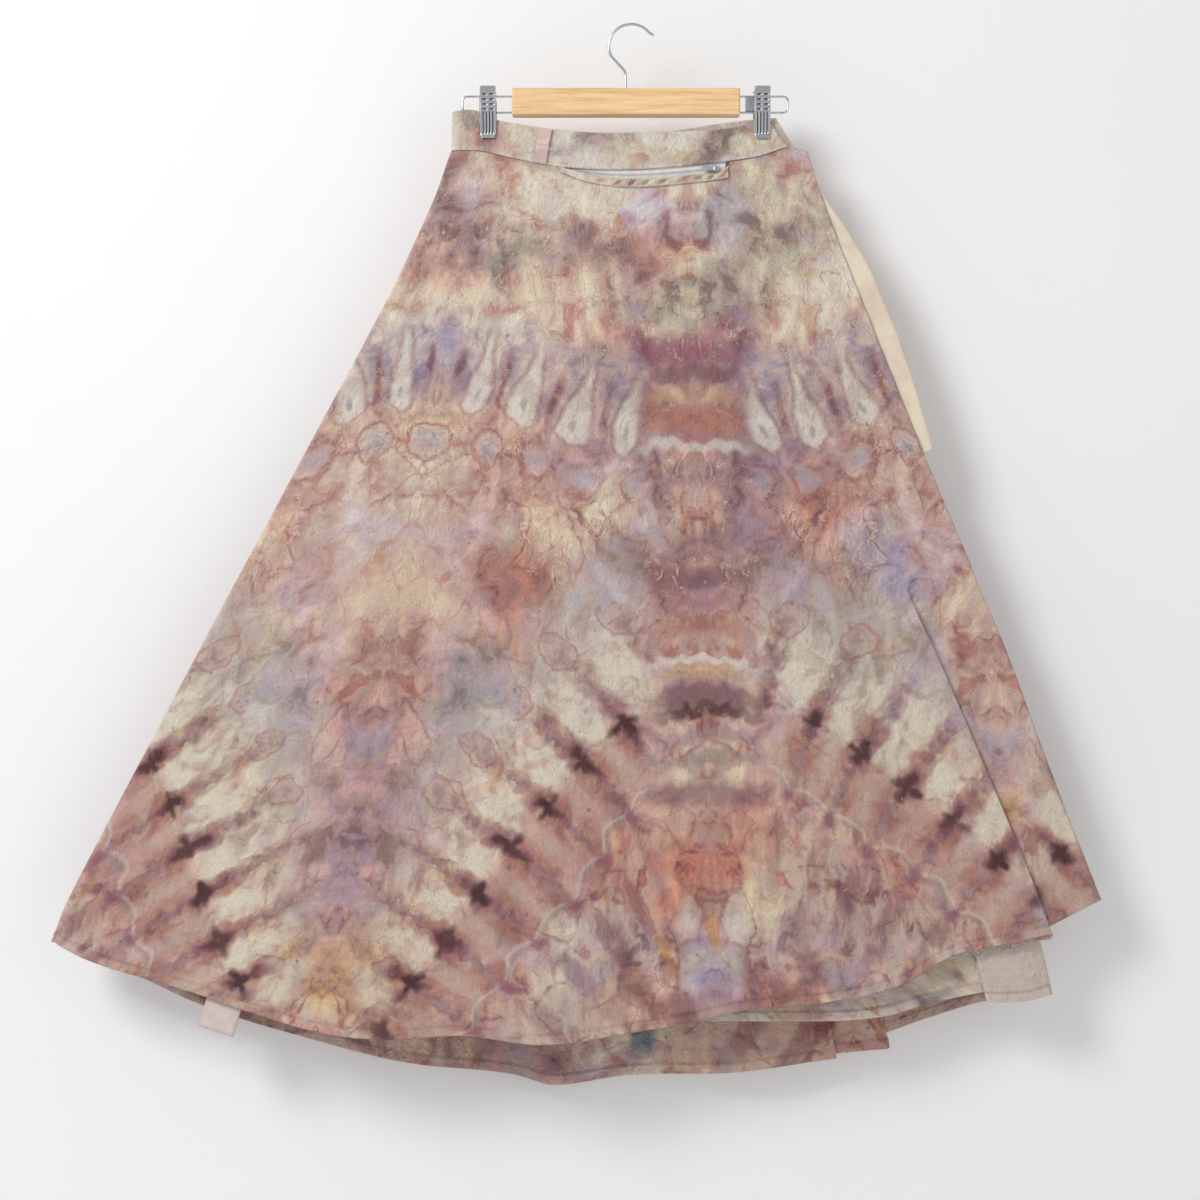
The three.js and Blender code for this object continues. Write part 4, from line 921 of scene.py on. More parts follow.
# Cloth past the flute stays this far before the under wrap, from middle to middle.
CLEAR = 1.8
FRONT_CREASES = [(-124, -650, -122, -1080, 15, 5.0), (-100, -700, -98, -1060, 12, -2.5),
                 (160, -150, 184, -260, 8, 3.0), (172, -150, 200, -270, 6, -2.0),
                 (184, -262, 250, -420, 7, 1.6), (-457, -982, -379, -935, 9, -3.4),
                 (-378, -935, -361, -953, 6, 2.4), (-410, -961, -379, -973, 6, -2.2),
                 (-417, -1021, -312, -1062, 9, -3.6), (-600, -940, -560, -1000, 8, 2.2),
                 (-575, -900, -520, -985, 10, -2.0), (60, -400, 70, -900, 26, 2.4),
                 (-260, -420, -330, -860, 24, -2.4), (230, -520, 300, -900, 20, 2.6),
                 (-30, -185, -60, -420, 14, -1.4), (90, -190, 120, -470, 16, 1.6),
                 (330, -700, 400, -960, 8, -2.2), (410, -560, 470, -900, 12, 2.0),
                 (-180, -150, -230, -330, 8, 1.8), (-165, -160, -190, -300, 6, -1.4)]


def front_top(x):
    seam = band_bottom(x) - 0.5
    zipped = (x > ZIP_LEFT) & (x < ZIP_RIGHT)
    return np.where(zipped, np.minimum(seam, zip_lower_edge(x)), seam)


FRONT_POURS = [(-20, -215, 210, 70, IVORY, 0.45), (30, -985, 330, 120, ROSE, 0.45),
               (60, -600, 260, 60, CREAM, 0.25), (-430, -960, 130, 80, MAUVE, 0.3),
               (-189, -203, 32, 37, MAUVE, 0.6), (-146, -246, 48, 27, STONE, 0.6),
               (-215, -262, 37, 27, ROSE, 0.5), (-34, -195, 59, 24, IVORY, 0.9),
               (31, -227, 64, 26, RUST, 0.6), (-44, -246, 30, 21, PLUM, 0.5),
               (73, -217, 54, 17, BLUSH, 0.5), (148, -224, 64, 43, SAGE, 0.65),
               (73, -294, 102, 26, SAGE, 0.75), (-76, -283, 64, 21, BLUSH, 0.5),
               (-173, -317, 102, 21, SHELL, 0.85), (218, -278, 32, 48, IVORY, 0.75),
               (-205, -360, 64, 24, LAVENDER, 0.5), (63, -347, 59, 24, MAGENTA, 0.6),
               (-12, -385, 37, 30, PLUM, 0.45), (127, -369, 37, 32, MAUVE, 0.6),
               (245, -358, 43, 37, MAUVE, 0.4), (57, -422, 54, 24, RUST, 0.6),
               (-226, -438, 75, 27, PEACH, 0.6), (-264, -486, 54, 48, SHELL, 0.5),
               (-333, -540, 37, 54, ROSE, 0.7), (-258, -588, 80, 90, BARE_PEACH, 1.0),
               (-258, -529, 48, 27, SHELL, 0.5), (-125, -476, 43, 32, ROSE, 0.55),
               (-135, -604, 37, 48, RUST, 0.7), (-44, -486, 43, 37, ROSE, 0.5),
               (4, -513, 48, 30, CREAM, 0.5), (73, -476, 64, 37, MAUVE, 0.6),
               (63, -574, 75, 32, PLUM, 0.55), (52, -628, 64, 37, ROSE, 0.6),
               (148, -513, 48, 64, MAUVE, 0.6), (223, -513, 43, 54, RUST, 0.55),
               (257, -572, 37, 43, LAVENDER, 0.6), (180, -615, 54, 43, ROSE, 0.4),
               (336, -551, 37, 96, BLUSH, 0.6), (234, -663, 75, 37, SAGE, 0.5),
               (-258, -722, 70, 64, ROSE, 0.5), (-408, -711, 75, 54, SAGE, 0.45),
               (-162, -711, 43, 43, STONE, 0.5), (-274, -818, 54, 96, MAUVE, 0.5),
               (-328, -1000, 80, 41, OCHRE, 0.55), (-526, -914, 75, 75, ROSE, 0.6),
               (-429, -1021, 64, 32, CREAM, 0.7), (-430, -860, 60, 80, SAGE, 0.4),
               (-23, -882, 75, 64, ROSE, 0.5), (84, -909, 86, 64, RUST, 0.6),
               (73, -984, 54, 48, LAVENDER, 0.5), (170, -946, 64, 54, CREAM, 0.5),
               (-66, -1011, 75, 54, SHELL, 0.7), (255, -968, 64, 64, MAUVE, 0.5),
               (287, -904, 54, 54, ROSE, 0.6), (73, -1048, 128, 27, ROSE, 0.4),
               (298, -1016, 86, 30, SHELL, 0.5), (394, -818, 32, 96, MAUVE, 0.5),
               (439, -874, 24, 30, OCHRE, 0.6), (454, -936, 24, 28, LAVENDER, 0.6),
               (-162, -1043, 64, 30, ROSE, 0.5), (-256, -580, 9, 13, OCHRE, 0.9),
               (-337, -1027, 9, 9, OCHRE, 0.8), (100, -975, 11, 18, OCHRE, 0.8),
               (48, -975, 11, 18, OCHRE, 0.8), (172, -1000, 16, 42, PLUM, 0.6),
               (-22, -1000, 16, 42, PLUM, 0.6), (125, -1036, 28, 24, PLUM, 0.6),
               (30, -1036, 28, 24, PLUM, 0.5), (75, -930, 36, 40, RUST, 0.4),
               (-120, -930, 14, 46, PLUM, 0.5), (228, -930, 14, 46, PLUM, 0.5)]


def front_panel():
    panel = Panel()
    for t in PANEL_T:
        panel.begin()
        seam = left_seam(t)
        x, y, z = side_turn(seam, 1, -1, front_depth)
        panel.add(x, y, z, x)
        edge_z = lerp(float(front_top(np.array(118.0))), -968, t)
        edge = float(flute_edge(edge_z))
        f = np.linspace(0, 1, 241)
        z = lerp(front_top(lerp(-189, 118, f)), front_hem(lerp(-609, 446, f)), t)
        x = lerp(seam[0] + seam[3], edge, f)
        fold_calm = 1 - ease((f - 0.93) / 0.07)
        panel.add(x, front_depth(x, z) + creases(x, z, FRONT_CREASES) * fold_calm, z, x)
        step_x, step_y, run = flute_at(edge_z, -584, -975, 44, 1)
        past_z = lerp(float(front_top(np.array(132.0))), -984, t)
        z = lerp(edge_z, past_z, np.arange(1, len(run) + 1) / len(run))
        y = front_depth(edge + step_x, z) + step_y
        panel.add(edge + step_x, np.minimum(y, under_depth(edge + step_x, z) - CLEAR), z, edge + run)
        start = edge + step_x[-1]
        free_z = lerp(float(front_top(np.array(188.0))), -934, t)
        f = np.linspace(0, 1, 27)[1:]
        z = lerp(front_top(lerp(132, 188, f)), front_hem_past(lerp(404, 501, f)), t)
        x = lerp(start, float(free_edge(free_z)), f)
        soft = creases(x, z, FRONT_CREASES) * ease(f / 0.3)
        y = np.minimum(front_depth(x, z) + step_y[-1] + soft, under_depth(x, z) - CLEAR)
        panel.add(x, y, z, x - start + edge + run[-1])
        panel.end()
    rows, flat = panel.grids()
    down = (1 - PANEL_T[:, None]) * PANEL_DROP
    relief = hem_relief(PANEL_T[:, None], flat[..., 0])
    from_edge = rows[:, -1:, 0] - rows[..., 0]
    side_hem = ease((9 - from_edge) / 1.5) * (0.6 + 0.3 * np.sin(down / 2.1))
    last_ply = np.arange(rows.shape[1]) > rows.shape[1] - 27
    relief = np.maximum(relief, side_hem * last_ply)
    dye = hem_shade(poured(flat[..., 0], flat[..., 1], BLUSH, FRONT_POURS))
    front = cloth_wall("front_wrap_cloth", rows, flat, CLOTH + relief, dyed_cotton("dyed_cotton_front"),
                       dye)
    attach(front, "skirt")
    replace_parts(front, "front_wrap_panel")
    return rows


front_rows = front_panel()


# ---- Waistband: one long doubled strip, from the inner end round the right fold, back and front ----
# Paler cotton of the same dye. It is sewn down on the panels, pinched by the clips, and sags and
# wrinkles a little between them.
BAND_T = np.linspace(0, 1, 33)
BAND_CREASES = [(-166, -112, -176, -133, 4, -0.9), (-140, -121, -104, -146, 4.5, -1.1),
                (-134, -113, -96, -139, 3.5, 0.8), (-126, -110, -84, -132, 3, -0.7),
                (-78, -118, -20, -141, 5, -0.8), (-60, -122, 20, -148, 4, 0.7),
                (-20, -130, 60, -134, 4, -0.7), (10, -122, 90, -124, 5, 0.6),
                (70, -140, 118, -122, 4.5, -0.8), (96, -141, 128, -124, 3.5, 0.7),
                (146, -118, 162, -132, 3.5, -0.8), (-188, -104, -186, -130, 4, -0.9)]


BAND_POURS = [
    (-155, -130, 26, 16, ROSE, 0.8), (-140, -126, 10, 8, MAGENTA, 0.5), (-178, -108, 16, 12, STONE, 0.7),
    (-120, -120, 18, 12, BLUSH, 0.6), (-76, -132, 14, 8, LAVENDER, 0.6), (-40, -138, 20, 10, LAVENDER, 0.4),
    (-16, -124, 26, 12, STONE, 0.6), (40, -138, 34, 12, CREAM, 0.8), (86, -122, 15, 15, PLUM, 0.55),
    (108, -120, 12, 12, STONE, 0.7), (128, -136, 18, 12, CREAM, 0.8), (150, -124, 12, 12, IVORY, 0.7),
    (-300, -120, 60, 30, BLUSH, 0.5), (-420, -120, 50, 30, MAUVE, 0.4), (-560, -120, 60, 30, CREAM, 0.6)]


def waistband():
    rows, flat = [], []
    for t in BAND_T:
        right, left, end = lerp(154, 178, t), lerp(-190.5, -192, t), lerp(149, 168, t)
        line = []

        def lay(x, y, top, bottom):
            line.append(np.stack(np.broadcast_arrays(x, y, lerp(top(x), bottom(x), t)), -1))

        x = np.linspace(-166, right - 2, 80)
        lay(x, under_depth(x, SEAM_Z), inner_band_top, inner_band_bottom)
        turn = math.pi * np.arange(1, 10) / 10
        inner, rear = float(under_depth(right, SEAM_Z)), float(back_depth(right, SEAM_Z))
        lay(right - 2 + 2 * np.sin(turn), lerp(inner, rear, (1 - np.cos(turn)) / 2), inner_band_top,
            inner_band_bottom)
        x = np.linspace(right - 2, left + 3, 80)
        lay(x, back_depth(x, SEAM_Z), inner_band_top, inner_band_bottom)
        x = left + 3 - 3 * np.sin(turn)
        rear, outer = float(back_depth(left, SEAM_Z)), float(front_depth(left, SEAM_Z + 4))
        f = np.arange(1, 10) / 10
        z = lerp(lerp(inner_band_top(x), band_top(x), f), lerp(inner_band_bottom(x), band_bottom(x), f), t)
        line.append(np.stack([x, lerp(rear, outer, (1 - np.cos(turn)) / 2), z], -1))
        x = np.linspace(left + 3, end, 130)
        z = lerp(band_top(x), band_bottom(x), t)
        wrinkle = creases(x, z, BAND_CREASES) * math.sin(math.pi * np.clip(t, 0.04, 0.96)) ** 0.5
        pinch = sum(np.exp(-(((x - clip) / 10) ** 2)) for clip in (CLIP_LEFT, CLIP_RIGHT))
        lay(x, front_depth(x, SEAM_Z + 4) + 1.8 * wrinkle * (1 - pinch), band_top, band_bottom)
        line = np.concatenate(line)
        along = np.concatenate([[0], np.cumsum(np.hypot(*np.diff(line[:, :2], axis=0).T))])
        rows.append(line)
        flat.append(np.stack([end - along[-1] + along, line[:, 2]], -1))
    rows, flat = np.array(rows), np.array(flat)
    seam = np.exp(-((np.abs(BAND_T - 0.5) - 0.41) / 0.03) ** 2)[:, None]
    piping = np.exp(-((np.abs(BAND_T - 0.5) - 0.48) / 0.025) ** 2)[:, None]
    dye = poured(flat[..., 0], flat[..., 1], paint(222, 211, 197, 0.7), BAND_POURS)
    band = cloth_wall("waistband_cloth", rows, flat, 1.9 - 0.5 * seam + 0.8 * piping,
                      dyed_cotton("dyed_cotton_band", shift=(0.15, 0.02), motifs=0.0), dye)
    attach(band, "skirt")
    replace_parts(band, "waistband")
    return rows


band_rows = waistband()


# ---- Belt loop: a narrow strap over the band, buckled out once where it was pinched ----
def plain_cotton(name, ground, second, blots=()):
    """Cotton that took hardly any dye: its ground, soft clouds of a second colour, a few blots."""
    graph, shader, material = new_material(name, Roughness=0.88, Sheen_Weight=0.15)
    cloth = graph.add("ShaderNodeAttribute", attribute_name="cloth").outputs["Vector"]
    x, _, z = graph.split(cloth)
    cloud = graph.noise(cloth, 24.0, 4.0, 0.55, 0.6)
    colour = graph.mix(graph.times(graph.fade(cloud, 0.42, 0.62), 0.8), ground, second)
    for blot_x, blot_z, half_wide, half_high, dye, strength in blots:
        a = graph.math("POWER", graph.over(graph.less(x, blot_x), half_wide), 2.0)
        b = graph.math("POWER", graph.over(graph.less(z, blot_z), half_high), 2.0)
        edge = graph.plus(graph.math("SQRT", graph.plus(a, b)), graph.less(cloud, 0.5))
        colour = graph.lay(colour, dye, graph.below(edge, 0.5, 1.3), strength)
    weave = use(graph, WEAVE, Cloth=cloth, Thread=0.0009, Crinkle=0.8)
    tone = graph.plus(0.88, graph.times(weave["Tone"], 0.36))
    graph.feed(shader.inputs["Base Color"],
               graph.mix(1.0, colour, graph.vector(tone, tone, tone), "MULTIPLY"))
    raise_relief(graph, shader, weave["Height"], 0.5, 0.0012)
    return material


def belt_loop():
    t = np.linspace(0, 1, 56)[:, None]
    side = np.linspace(-0.5, 0.5, 13)[None, :]
    buckle = 3.0 * np.exp(-(((t - 0.42) / 0.07) ** 2))
    x = lerp(-91.4, -97.8, t) + side * (13.5 - 0.5 * buckle)
    z = lerp(band_top(x) - 0.5, band_bottom(x) + 0.5, t)
    # The upper part is folded double where the strap was turned over.
    y = front_depth(x, SEAM_Z + 4) - 2.6 - buckle - 0.6 * ease((0.5 - t) / 0.06)
    loop = cloth_wall("belt_loop_cloth", grid_of(x, y, z), grid_of(x, z),
                      1.3,
                      plain_cotton("loop_cotton", paint(216, 198, 186), paint(200, 170, 166),
                                   [(-0.096, -0.142, 0.012, 0.01, MAUVE, 0.45),
                                    (-0.094, -0.118, 0.009, 0.008, ROSE, 0.4)]))
    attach(loop, "skirt")
    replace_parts(loop, "belt_loop")


belt_loop()


# ---- Ties: a cream tie behind the free edge, and a long one that hangs inside on the left ----
tie_overhang = through((-152, -7), (-196, 2), (-247, 17), (-310, 21), (-379, 19), (-463, 9))


def right_tie():
    t = np.linspace(0, 1, 110)[:, None]
    side = np.linspace(-0.5, 0.5, 19)[None, :]
    z0 = lerp(-152, -463, t)
    middle = free_edge(z0) + tie_overhang(z0) - 21
    slope = (free_edge(z0 - 10) - free_edge(z0 + 10)) / 20
    x, z = middle + side * 42, z0 + side * 42 * slope
    ripple = 0.5 * np.sin(z / 9 + 3 * side) * (0.5 + side) + 0.35 * np.sin(z / 5.2)
    y = front_depth(x, z0) + np.maximum(creases(x, z, FRONT_CREASES), 0) + 2.3 + ripple
    edge = ease((np.abs(side) - 0.42) / 0.03) + ease((t - 0.985) / 0.004)
    tie = cloth_wall("right_tie_cloth", grid_of(x, y, z), grid_of(x, z),
                     1.1 + 0.4 * np.clip(edge, 0, 1),
                     plain_cotton("tie_cotton", paint(226, 212, 188), paint(214, 190, 174)))
    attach(tie, "skirt")
    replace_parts(tie, "right_tie")
    return grid_of(x, y, z)


def left_tie():
    t = np.linspace(0, 1, 200)[:, None]
    side = np.linspace(-0.5, 0.5, 15)[None, :]
    x = lerp(-169, -439, t) + side * 37.4
    z = lerp(-150, -1070, t) - side * 10.5
    ripple = 0.5 * np.sin(z / 14 + 4 * side) * ease(t / 0.2)
    y = front_depth(x, z) + 1.5 + lerp(0.8, 6, t) + ripple
    edge = ease((np.abs(side) - 0.43) / 0.03) + ease((t - 0.990) / 0.003)
    tie = cloth_wall("left_tie_cloth", grid_of(x, y, z), grid_of(x, z),
                     1.1 + 0.4 * np.clip(edge, 0, 1),
                     plain_cotton("tie_end_cotton", paint(206, 190, 182), paint(190, 166, 170)))
    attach(tie, "skirt")
    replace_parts(tie, "left_tie")
    return grid_of(x, y, z)


right_tie_rows = right_tie()
left_tie_rows = left_tie()


# ---- Zip pocket: the tape in the band's seam, its coil, and the stitched lip below it ----
lip_lower_edge = through((-78, -157.5), (-50, -169), (-16, -174.8), (11, -175.5), (73, -169.4),
                         (104, -164.5))


def zip_tape():
    x = np.linspace(ZIP_LEFT, ZIP_RIGHT, 120)[None, :]
    t = np.linspace(0, 1, 17)[:, None]
    z = lerp(band_bottom(x) + 2.5, zip_lower_edge(x) - 2.5, t)
    ridge = 0.45 * np.exp(-(((t - 0.5) / 0.10) ** 2))
    y = front_depth(x, SEAM_Z + 4) + 1.9 - ridge
    graph, shader, material = new_material("zip_tape", Roughness=0.62)
    cloth = graph.add("ShaderNodeAttribute", attribute_name="cloth").outputs["Vector"]
    along, _, down = graph.split(cloth)
    rib = graph.math("SINE", graph.times(along, 2 * math.pi / 0.0007))
    herringbone = graph.times(rib, graph.math("SINE", graph.times(down, 2 * math.pi / 0.0016)))
    graph.feed(shader.inputs["Base Color"],
               graph.ramp(graph.noise(cloth, 160.0, 3.0),
                          [(0.35, paint(214, 211, 208)), (0.65, paint(232, 230, 228))]))
    raise_relief(graph, shader, herringbone, 0.4, 0.0003)
    tape = cloth_wall("zip_tape_cloth", grid_of(x, y, z),
                      grid_of(x, z), 0.7, material)
    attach(tape, "skirt")
    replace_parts(tape, "zip_tape")
    middle_row = grid_of(x, y, z)[8]
    return middle_row - np.array([0, 0.55, 0])


def pocket_lip():
    x = np.linspace(ZIP_LEFT - 3, ZIP_RIGHT + 2, 220)[None, :]
    t = np.linspace(0, 1, 21)[:, None]
    z = lerp(zip_lower_edge(x) - 0.6, lip_lower_edge(x), t)
    slant = x + 9 * t
    pucker = 0.75 * np.sin(slant / 1.35 + 1.3 * np.sin(x / 13)) * (0.5 + 0.5 * np.sin(x / 21 + 1.0))
    y = front_depth(x, z) - 1.7 - (1.0 + pucker) * np.sin(np.pi * t)
    rows = grid_of(x, y, z)
    # Painted shade: cream darkens to brown along the slanting pucker folds, for the shade in their creases.
    fold = ease(0.5 + 0.9 * np.sin(slant / 2.7 + 1.3 * np.sin(x / 13)))
    fold = fold * np.sin(np.pi * np.clip(t * 1.1, 0, 1))
    dye = lerp(np.array(CREAM), np.array(paint(142, 108, 92)),
               (0.75 * fold * ease((x + 60) / 40))[..., None])
    lip = cloth_wall("pocket_lip_cloth", rows, grid_of(x, z), 1.1,
                     dyed_cotton("dyed_cotton_lip", shift=(0.1, 0.0), motifs=0.0), dye)
    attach(lip, "skirt")
    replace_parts(lip, "pocket_lip")
    return rows


zip_line = zip_tape()
lip_rows = pocket_lip()


# ---- Sewing: rows of stitches on the hems, the band, the ties and the lip, and the zip's coil ----
# One rule lays them all: a small bead again and again along a line, each at the same spacing.
def row_of_beads():
    tree = bpy.data.node_groups.new("row_of_beads", "GeometryNodeTree")
    tree.interface.new_socket("Line", in_out="INPUT", socket_type="NodeSocketGeometry")
    for label, size in (("Spacing", 0.0028), ("Long", 0.0011), ("Deep", 0.0002), ("Wide", 0.0002)):
        tree.interface.new_socket(label, in_out="INPUT", socket_type=FLOAT).default_value = size
    tree.interface.new_socket("Material", in_out="INPUT", socket_type="NodeSocketMaterial")
    tree.interface.new_socket("Beads", in_out="OUTPUT", socket_type="NodeSocketGeometry")
    graph = Graph(tree)
    given = graph.add("NodeGroupInput").outputs
    curve = graph.add("GeometryNodeMeshToCurve", {"Mesh": given["Line"]}).outputs["Curve"]
    even = graph.add("GeometryNodeResampleCurve", {"Curve": curve, "Length": given["Spacing"]},
                     mode="LENGTH")
    bead = graph.add("GeometryNodeMeshIcoSphere", {"Radius": 1.0, "Subdivisions": 1}).outputs["Mesh"]
    tangent = graph.add("GeometryNodeInputTangent").outputs[0]
    turned = graph.add("FunctionNodeAlignRotationToVector", {"Vector": tangent}, axis="X").outputs[0]
    size = graph.vector(given["Long"], given["Deep"], given["Wide"])
    laid = graph.add("GeometryNodeInstanceOnPoints", {"Points": even.outputs[0], "Instance": bead,
                                                      "Rotation": turned, "Scale": size})
    real = graph.add("GeometryNodeRealizeInstances", {"Geometry": laid.outputs[0]}).outputs[0]
    done = graph.add("GeometryNodeSetMaterial", {"Geometry": real, "Material": given["Material"]}).outputs[0]
    graph.feed(graph.add("NodeGroupOutput").inputs["Beads"], done)
    return tree


BEADS = row_of_beads()


def lay_beads(name, lines, spacing, size, material):
    """Beads along lines of points in millimetres, as one plain mesh."""
    points = np.concatenate(lines) / 1000.0
    edges, first = [], 0
    for line in lines:
        edges += [(first + k, first + k + 1) for k in range(len(line) - 1)]
        first += len(line)
    mesh = bpy.data.meshes.new(name + "_line")
    mesh.from_pydata(points.tolist(), edges, [])
    seam = bpy.data.objects.new(name + "_line", mesh)
    scene.collection.objects.link(seam)
    modifier = seam.modifiers.new("beads", "NODES")
    modifier.node_group = BEADS
    sockets = {item.name: item.identifier for item in BEADS.interface.items_tree}
    for label, value in zip(("Spacing", "Long", "Deep", "Wide"), (spacing, *size)):
        modifier[sockets[label]] = value / 1000.0
    modifier[sockets["Material"]] = material
    laid = seam.evaluated_get(bpy.context.evaluated_depsgraph_get())
    beads = bpy.data.objects.new(name, bpy.data.meshes.new_from_object(laid))
    bpy.data.objects.remove(seam)
    scene.collection.objects.link(beads)
    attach(beads, "skirt")
    return beads


def thread(name, colour):
    graph, shader, material = new_material(name, Roughness=0.7, Sheen_Weight=0.2)
    place = graph.add("ShaderNodeTexCoord").outputs["Object"]
    tone = graph.noise(place, 900.0, 2.0)
    darker = tuple(c * 0.72 for c in colour[:3]) + (1.0,)
    graph.feed(shader.inputs["Base Color"], graph.either(tone, 0.3, 0.7, darker, colour))
    return material


def inset(face, amount):
    """The line that runs down a face of cloth at this distance in from its last column."""
    lines = []
    for row in face:
        back = row[::-1]
        far = np.concatenate([[0], np.cumsum(np.linalg.norm(np.diff(back, axis=0), axis=1))])
        lines.append([np.interp(amount, far, back[:, k]) for k in range(3)])
    return np.array(lines)


def sewing():
    on_cloth = CLOTH + THREAD_STAND
    front_face = surface(front_rows, on_cloth, 1)
    lines = [front_face[STITCHED_ROW], inset(front_face, 6.5)[:-4]]
    for rows in (under_rows, back_rows):
        lines += [surface(rows, on_cloth, side)[STITCHED_ROW] for side in (1, -1)]
    band_face = surface(band_rows, 1.8, 1)
    lines += [band_face[1], band_face[-2]]
    tie_face = surface(right_tie_rows, 1.5, 1)
    lines += [tie_face[:, 1], tie_face[:, -2], tie_face[-3, 1:-1]]
    end_face = surface(left_tie_rows, 1.5, 1)[120:]
    lines += [end_face[:, 1], end_face[:, -2], end_face[-3, 1:-1]]
    lines += [surface(lip_rows, 1.1, 1)[-3], surface(lip_rows, 1.1, 1)[3]]
    stitches = lay_beads("stitches", lines, 2.9, (1.15, 0.22, 0.24),
                         thread("cream_thread", paint(214, 196, 184)))
    coil = lay_beads("zip_coil", [zip_line[2:-8]], 1.25, (0.42, 0.35, 1.5),
                     thread("coil", paint(205, 206, 208)))


sewing()


# ---- Zip slider and pull: small plated castings ----
def plated(name, tint, roughness, hollow_shade=0.0):
    """Plated metal with fine scratches and a little tarnish, and painted shade in the stamped hollows."""
    graph, shader, material = new_material(name, Metallic=1.0)
    place = graph.add("ShaderNodeTexCoord").outputs["Object"]
    x, y, z = graph.split(place)
    brushed = graph.noise(graph.vector(x, y, graph.times(z, 0.05)), 2600.0, 3.0)
    tarnish = graph.noise(place, 120.0, 4.0)
    dull = tuple(c * 0.6 for c in tint[:3]) + (1.0,)
    colour = graph.mix(graph.times(graph.fade(tarnish, 0.5, 0.75), 0.6), tint, dull)
    if hollow_shade:
        # Painted shade: the stamped slots and grooves, marked by the hollow attribute, are painted near
        # black.
        depth = graph.add("ShaderNodeAttribute", attribute_name="hollow").outputs["Fac"]
        colour = graph.lay(colour, paint(28, 29, 32), depth, hollow_shade)
    graph.feed(shader.inputs["Base Color"], colour)
    graph.feed(shader.inputs["Roughness"], graph.plus(roughness, graph.times(brushed, 0.16)))
    raise_relief(graph, shader, brushed, 0.12, 0.0002)
    return material


for node in ("zip_slider", "zip_pull"):
    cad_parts[node].material_slots[0].material = plated(node + "_plating", paint(196, 197, 200), 0.26)


# ---- Hanger: a beech stick with a wire hook and a wire loop, and two sprung clips on the loop ----
def beech():
    graph, shader, material = new_material("pale_beech", Roughness=0.5)
    place = graph.add("ShaderNodeTexCoord").outputs["Object"]
    x, y, z = graph.split(place)
    sway = graph.times(graph.noise(graph.vector(x, 0.0, 0.0), 9.0, 2.0), 0.012)
    down = graph.plus(z, sway)
    lengthwise = graph.vector(graph.times(x, 0.05), y, down)
    rings = graph.noise(lengthwise, 240.0, 4.0, 0.6)
    pores = graph.noise(graph.vector(graph.times(x, 0.12), y, z), 1500.0, 2.0)
    colour = graph.ramp(rings,
                        [(0.32, paint(214, 169, 118)), (0.5, paint(230, 190, 142)),
                         (0.7, paint(240, 206, 162))])
    colour = graph.lay(colour, paint(176, 124, 80), graph.fade(pores, 0.58, 0.72), 0.25)
    # Two fine drying cracks, each a thin wavering line along the grain.
    for at_z, left, right in ((-0.0815, 0.058, 0.108), (-0.0745, -0.118, -0.052)):
        wander = graph.times(graph.less(graph.noise(graph.vector(x, 0.0, 0.3), 130.0, 2.0), 0.5), 0.006)
        off = graph.size(graph.less(graph.plus(z, wander), at_z))
        along = graph.times(graph.fade(x, left, left + 0.02), graph.below(x, right - 0.015, right))
        crack = graph.times(along, graph.below(off, 0.0, 0.0006))
        colour = graph.lay(colour, paint(150, 100, 64), crack, 0.6)
    graph.feed(shader.inputs["Base Color"], colour)
    raise_relief(graph, shader, rings, 0.15, 0.0004)
    return material


def hanger_bar():
    low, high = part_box("hanger_bar")
    mesh = bpy.data.meshes.new("bar_of_beech")
    corners = [(x, y, z) for x in (low[0], high[0]) for y in (low[1], high[1]) for z in (low[2], high[2])]
    mesh.from_pydata(corners, [],
                     [(0, 1, 3, 2), (4, 6, 7, 5), (0, 4, 5, 1), (2, 3, 7, 6), (0, 2, 6, 4), (1, 5, 7, 3)])
    mesh.materials.append(beech())
    bar = bpy.data.objects.new("bar_of_beech", mesh)
    scene.collection.objects.link(bar)
    edge = bar.modifiers.new("eased_edges", "BEVEL")
    edge.width, edge.segments = 0.0022, 4
    for face in mesh.polygons:
        face.use_smooth = True
    bar.modifiers.new("flat_faces", "WEIGHTED_NORMAL")
    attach(bar, "skirt")
    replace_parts(bar, "hanger_bar")


def bent_wire(name, points, thick, closed, material, node):
    """A round wire along a line of points in millimetres, its open ends capped flat."""
    curve = bpy.data.curves.new(name, "CURVE")
    curve.dimensions = "3D"
    curve.bevel_depth, curve.bevel_resolution = thick / 2000.0, 4
    curve.use_fill_caps = True
    spline = curve.splines.new("POLY")
    spline.points.add(len(points) - 1)
    for point, place in zip(spline.points, points):
        point.co = (*(c / 1000.0 for c in place), 1.0)
    spline.use_cyclic_u = closed
    drawn = bpy.data.objects.new(name + "_line", curve)
    scene.collection.objects.link(drawn)
    mesh = bpy.data.meshes.new_from_object(drawn.evaluated_get(bpy.context.evaluated_depsgraph_get()))
    bpy.data.objects.remove(drawn)
    mesh.materials.clear()
    mesh.materials.append(material)
    mesh.polygons.foreach_set("use_smooth", np.ones(len(mesh.polygons), bool))
    wire = bpy.data.objects.new(name, mesh)
    scene.collection.objects.link(wire)
    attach(wire, "skirt")
    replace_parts(wire, node)


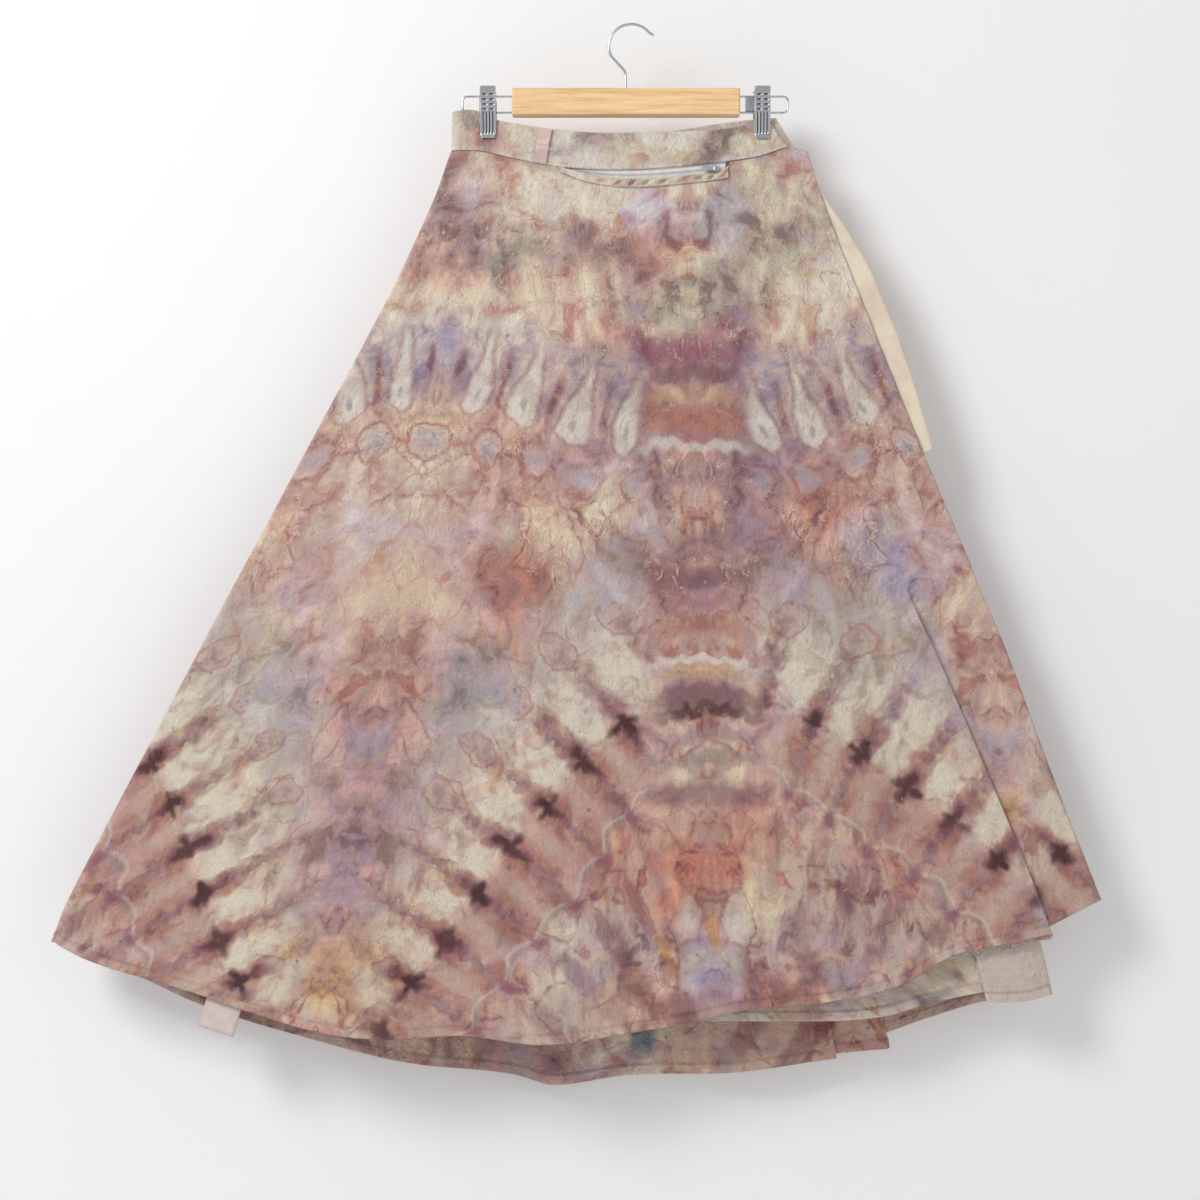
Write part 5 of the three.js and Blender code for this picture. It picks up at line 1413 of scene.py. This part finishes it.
def hanger_wires():
    chrome = plated("chromed_wire", paint(205, 207, 211), 0.12)
    turn = np.radians(np.linspace(38, 205, 60))
    arc = np.stack([24 * np.cos(turn), 0 * turn, -22.5 + 24 * np.sin(turn)], -1)
    neck = through((-32.6, -21.75), (-40.5, -14.6), (-46.8, -8.7), (-51.5, -6.4), (-56, -6.1), (-70, -6.1))
    z = np.linspace(-33.2, -71.5, 40)
    stem = np.stack([neck(z), 0 * z, z], -1)
    bent_wire("hook_wire", [(23.6, 0, -10.6), (22.4, 0, -9.6), (21, 0, -8.9), *arc, *stem], 3.0, False,
              chrome, "hanger_hook")
    corners = [(162.5, -81, 0), (-175.5, -81, 90), (-175.5, -88.2, 180), (162.5, -88.2, 270)]
    loop = [(x + 5 * math.cos(math.radians(start + step)), 0, z + 5 * math.sin(math.radians(start + step)))
            for x, z, start in corners for step in range(0, 91, 9)]
    bent_wire("loop_wire", loop, 2.2, True, chrome, "wire_loop")


def clip_leaf(name, clip_x, side, material):
    """A stamped leaf: four rows of short slots across the thumb end, ribs down the jaw end."""
    stand_off = through((-67.5, 12.5), (-76, 10.8), (-85, 9.6), (-96, 8.6), (-108, 6.6), (-117, 5.2),
                        (-121.7, 6.4))
    t = np.linspace(0, 1, 120)[:, None]
    f = np.linspace(-0.5, 0.5, 61)[None, :]
    z = lerp(-67.5, -121.7, t) + 0 * f
    width = 17 * (1 - 0.12 * ease((t - 0.86) / 0.14)) * (1 - 0.05 * ease((0.03 - t) / 0.03))
    slot_row = np.exp(-(((t * 54.2 - 5.6) % 5.2 - 2.6) / 1.15) ** 4) * (t > 0.08) * (t < 0.46)
    slot_side = np.exp(-((np.abs(np.abs(f) - 0.22) / 0.15) ** 6))
    slots = slot_row * slot_side
    down = ease((t - 0.47) / 0.03) * (1 - ease((t - 0.90) / 0.03))
    grooves = down * np.exp(-((((f * 5) % 1.0 - 0.5) / 0.24) ** 4)) * (np.abs(f) < 0.42)
    hollow = np.clip(slots + grooves, 0, 1)
    out = stand_off(z) + 0.9 * (1 - hollow) - 0.5 * (np.abs(f) > 0.47)
    rows = np.stack(np.broadcast_arrays(clip_x + f * width, side * out, z), -1)
    if side > 0:
        rows = rows[:, ::-1]
        hollow = hollow[:, ::-1]
    leaf = cloth_wall(name, rows, rows[..., [0, 2]], 0.9, material)
    leaf.data.attributes.new("hollow", "FLOAT", "POINT").data.foreach_set("value",
                                                                          np.tile(hollow.ravel(), 2))
    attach(leaf, "skirt")
    return leaf


hanger_bar()
hanger_wires()
# The clips' nickel, with painted shade near black in its slots and grooves.
nickel = plated("nickel", paint(190, 191, 194), 0.24, hollow_shade=0.94)
for which, clip_x in (("left", CLIP_LEFT), ("right", CLIP_RIGHT)):
    for place, side in (("front", -1), ("back", 1)):
        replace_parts(clip_leaf(f"{which}_leaf_{place}", clip_x, side, nickel), f"{which}_clip_{place}")
    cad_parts[f'{which}_clip_slide'].material_slots[0].material = plated(f'{which}_slide',
                                                                              paint(176, 178, 182), 0.3)
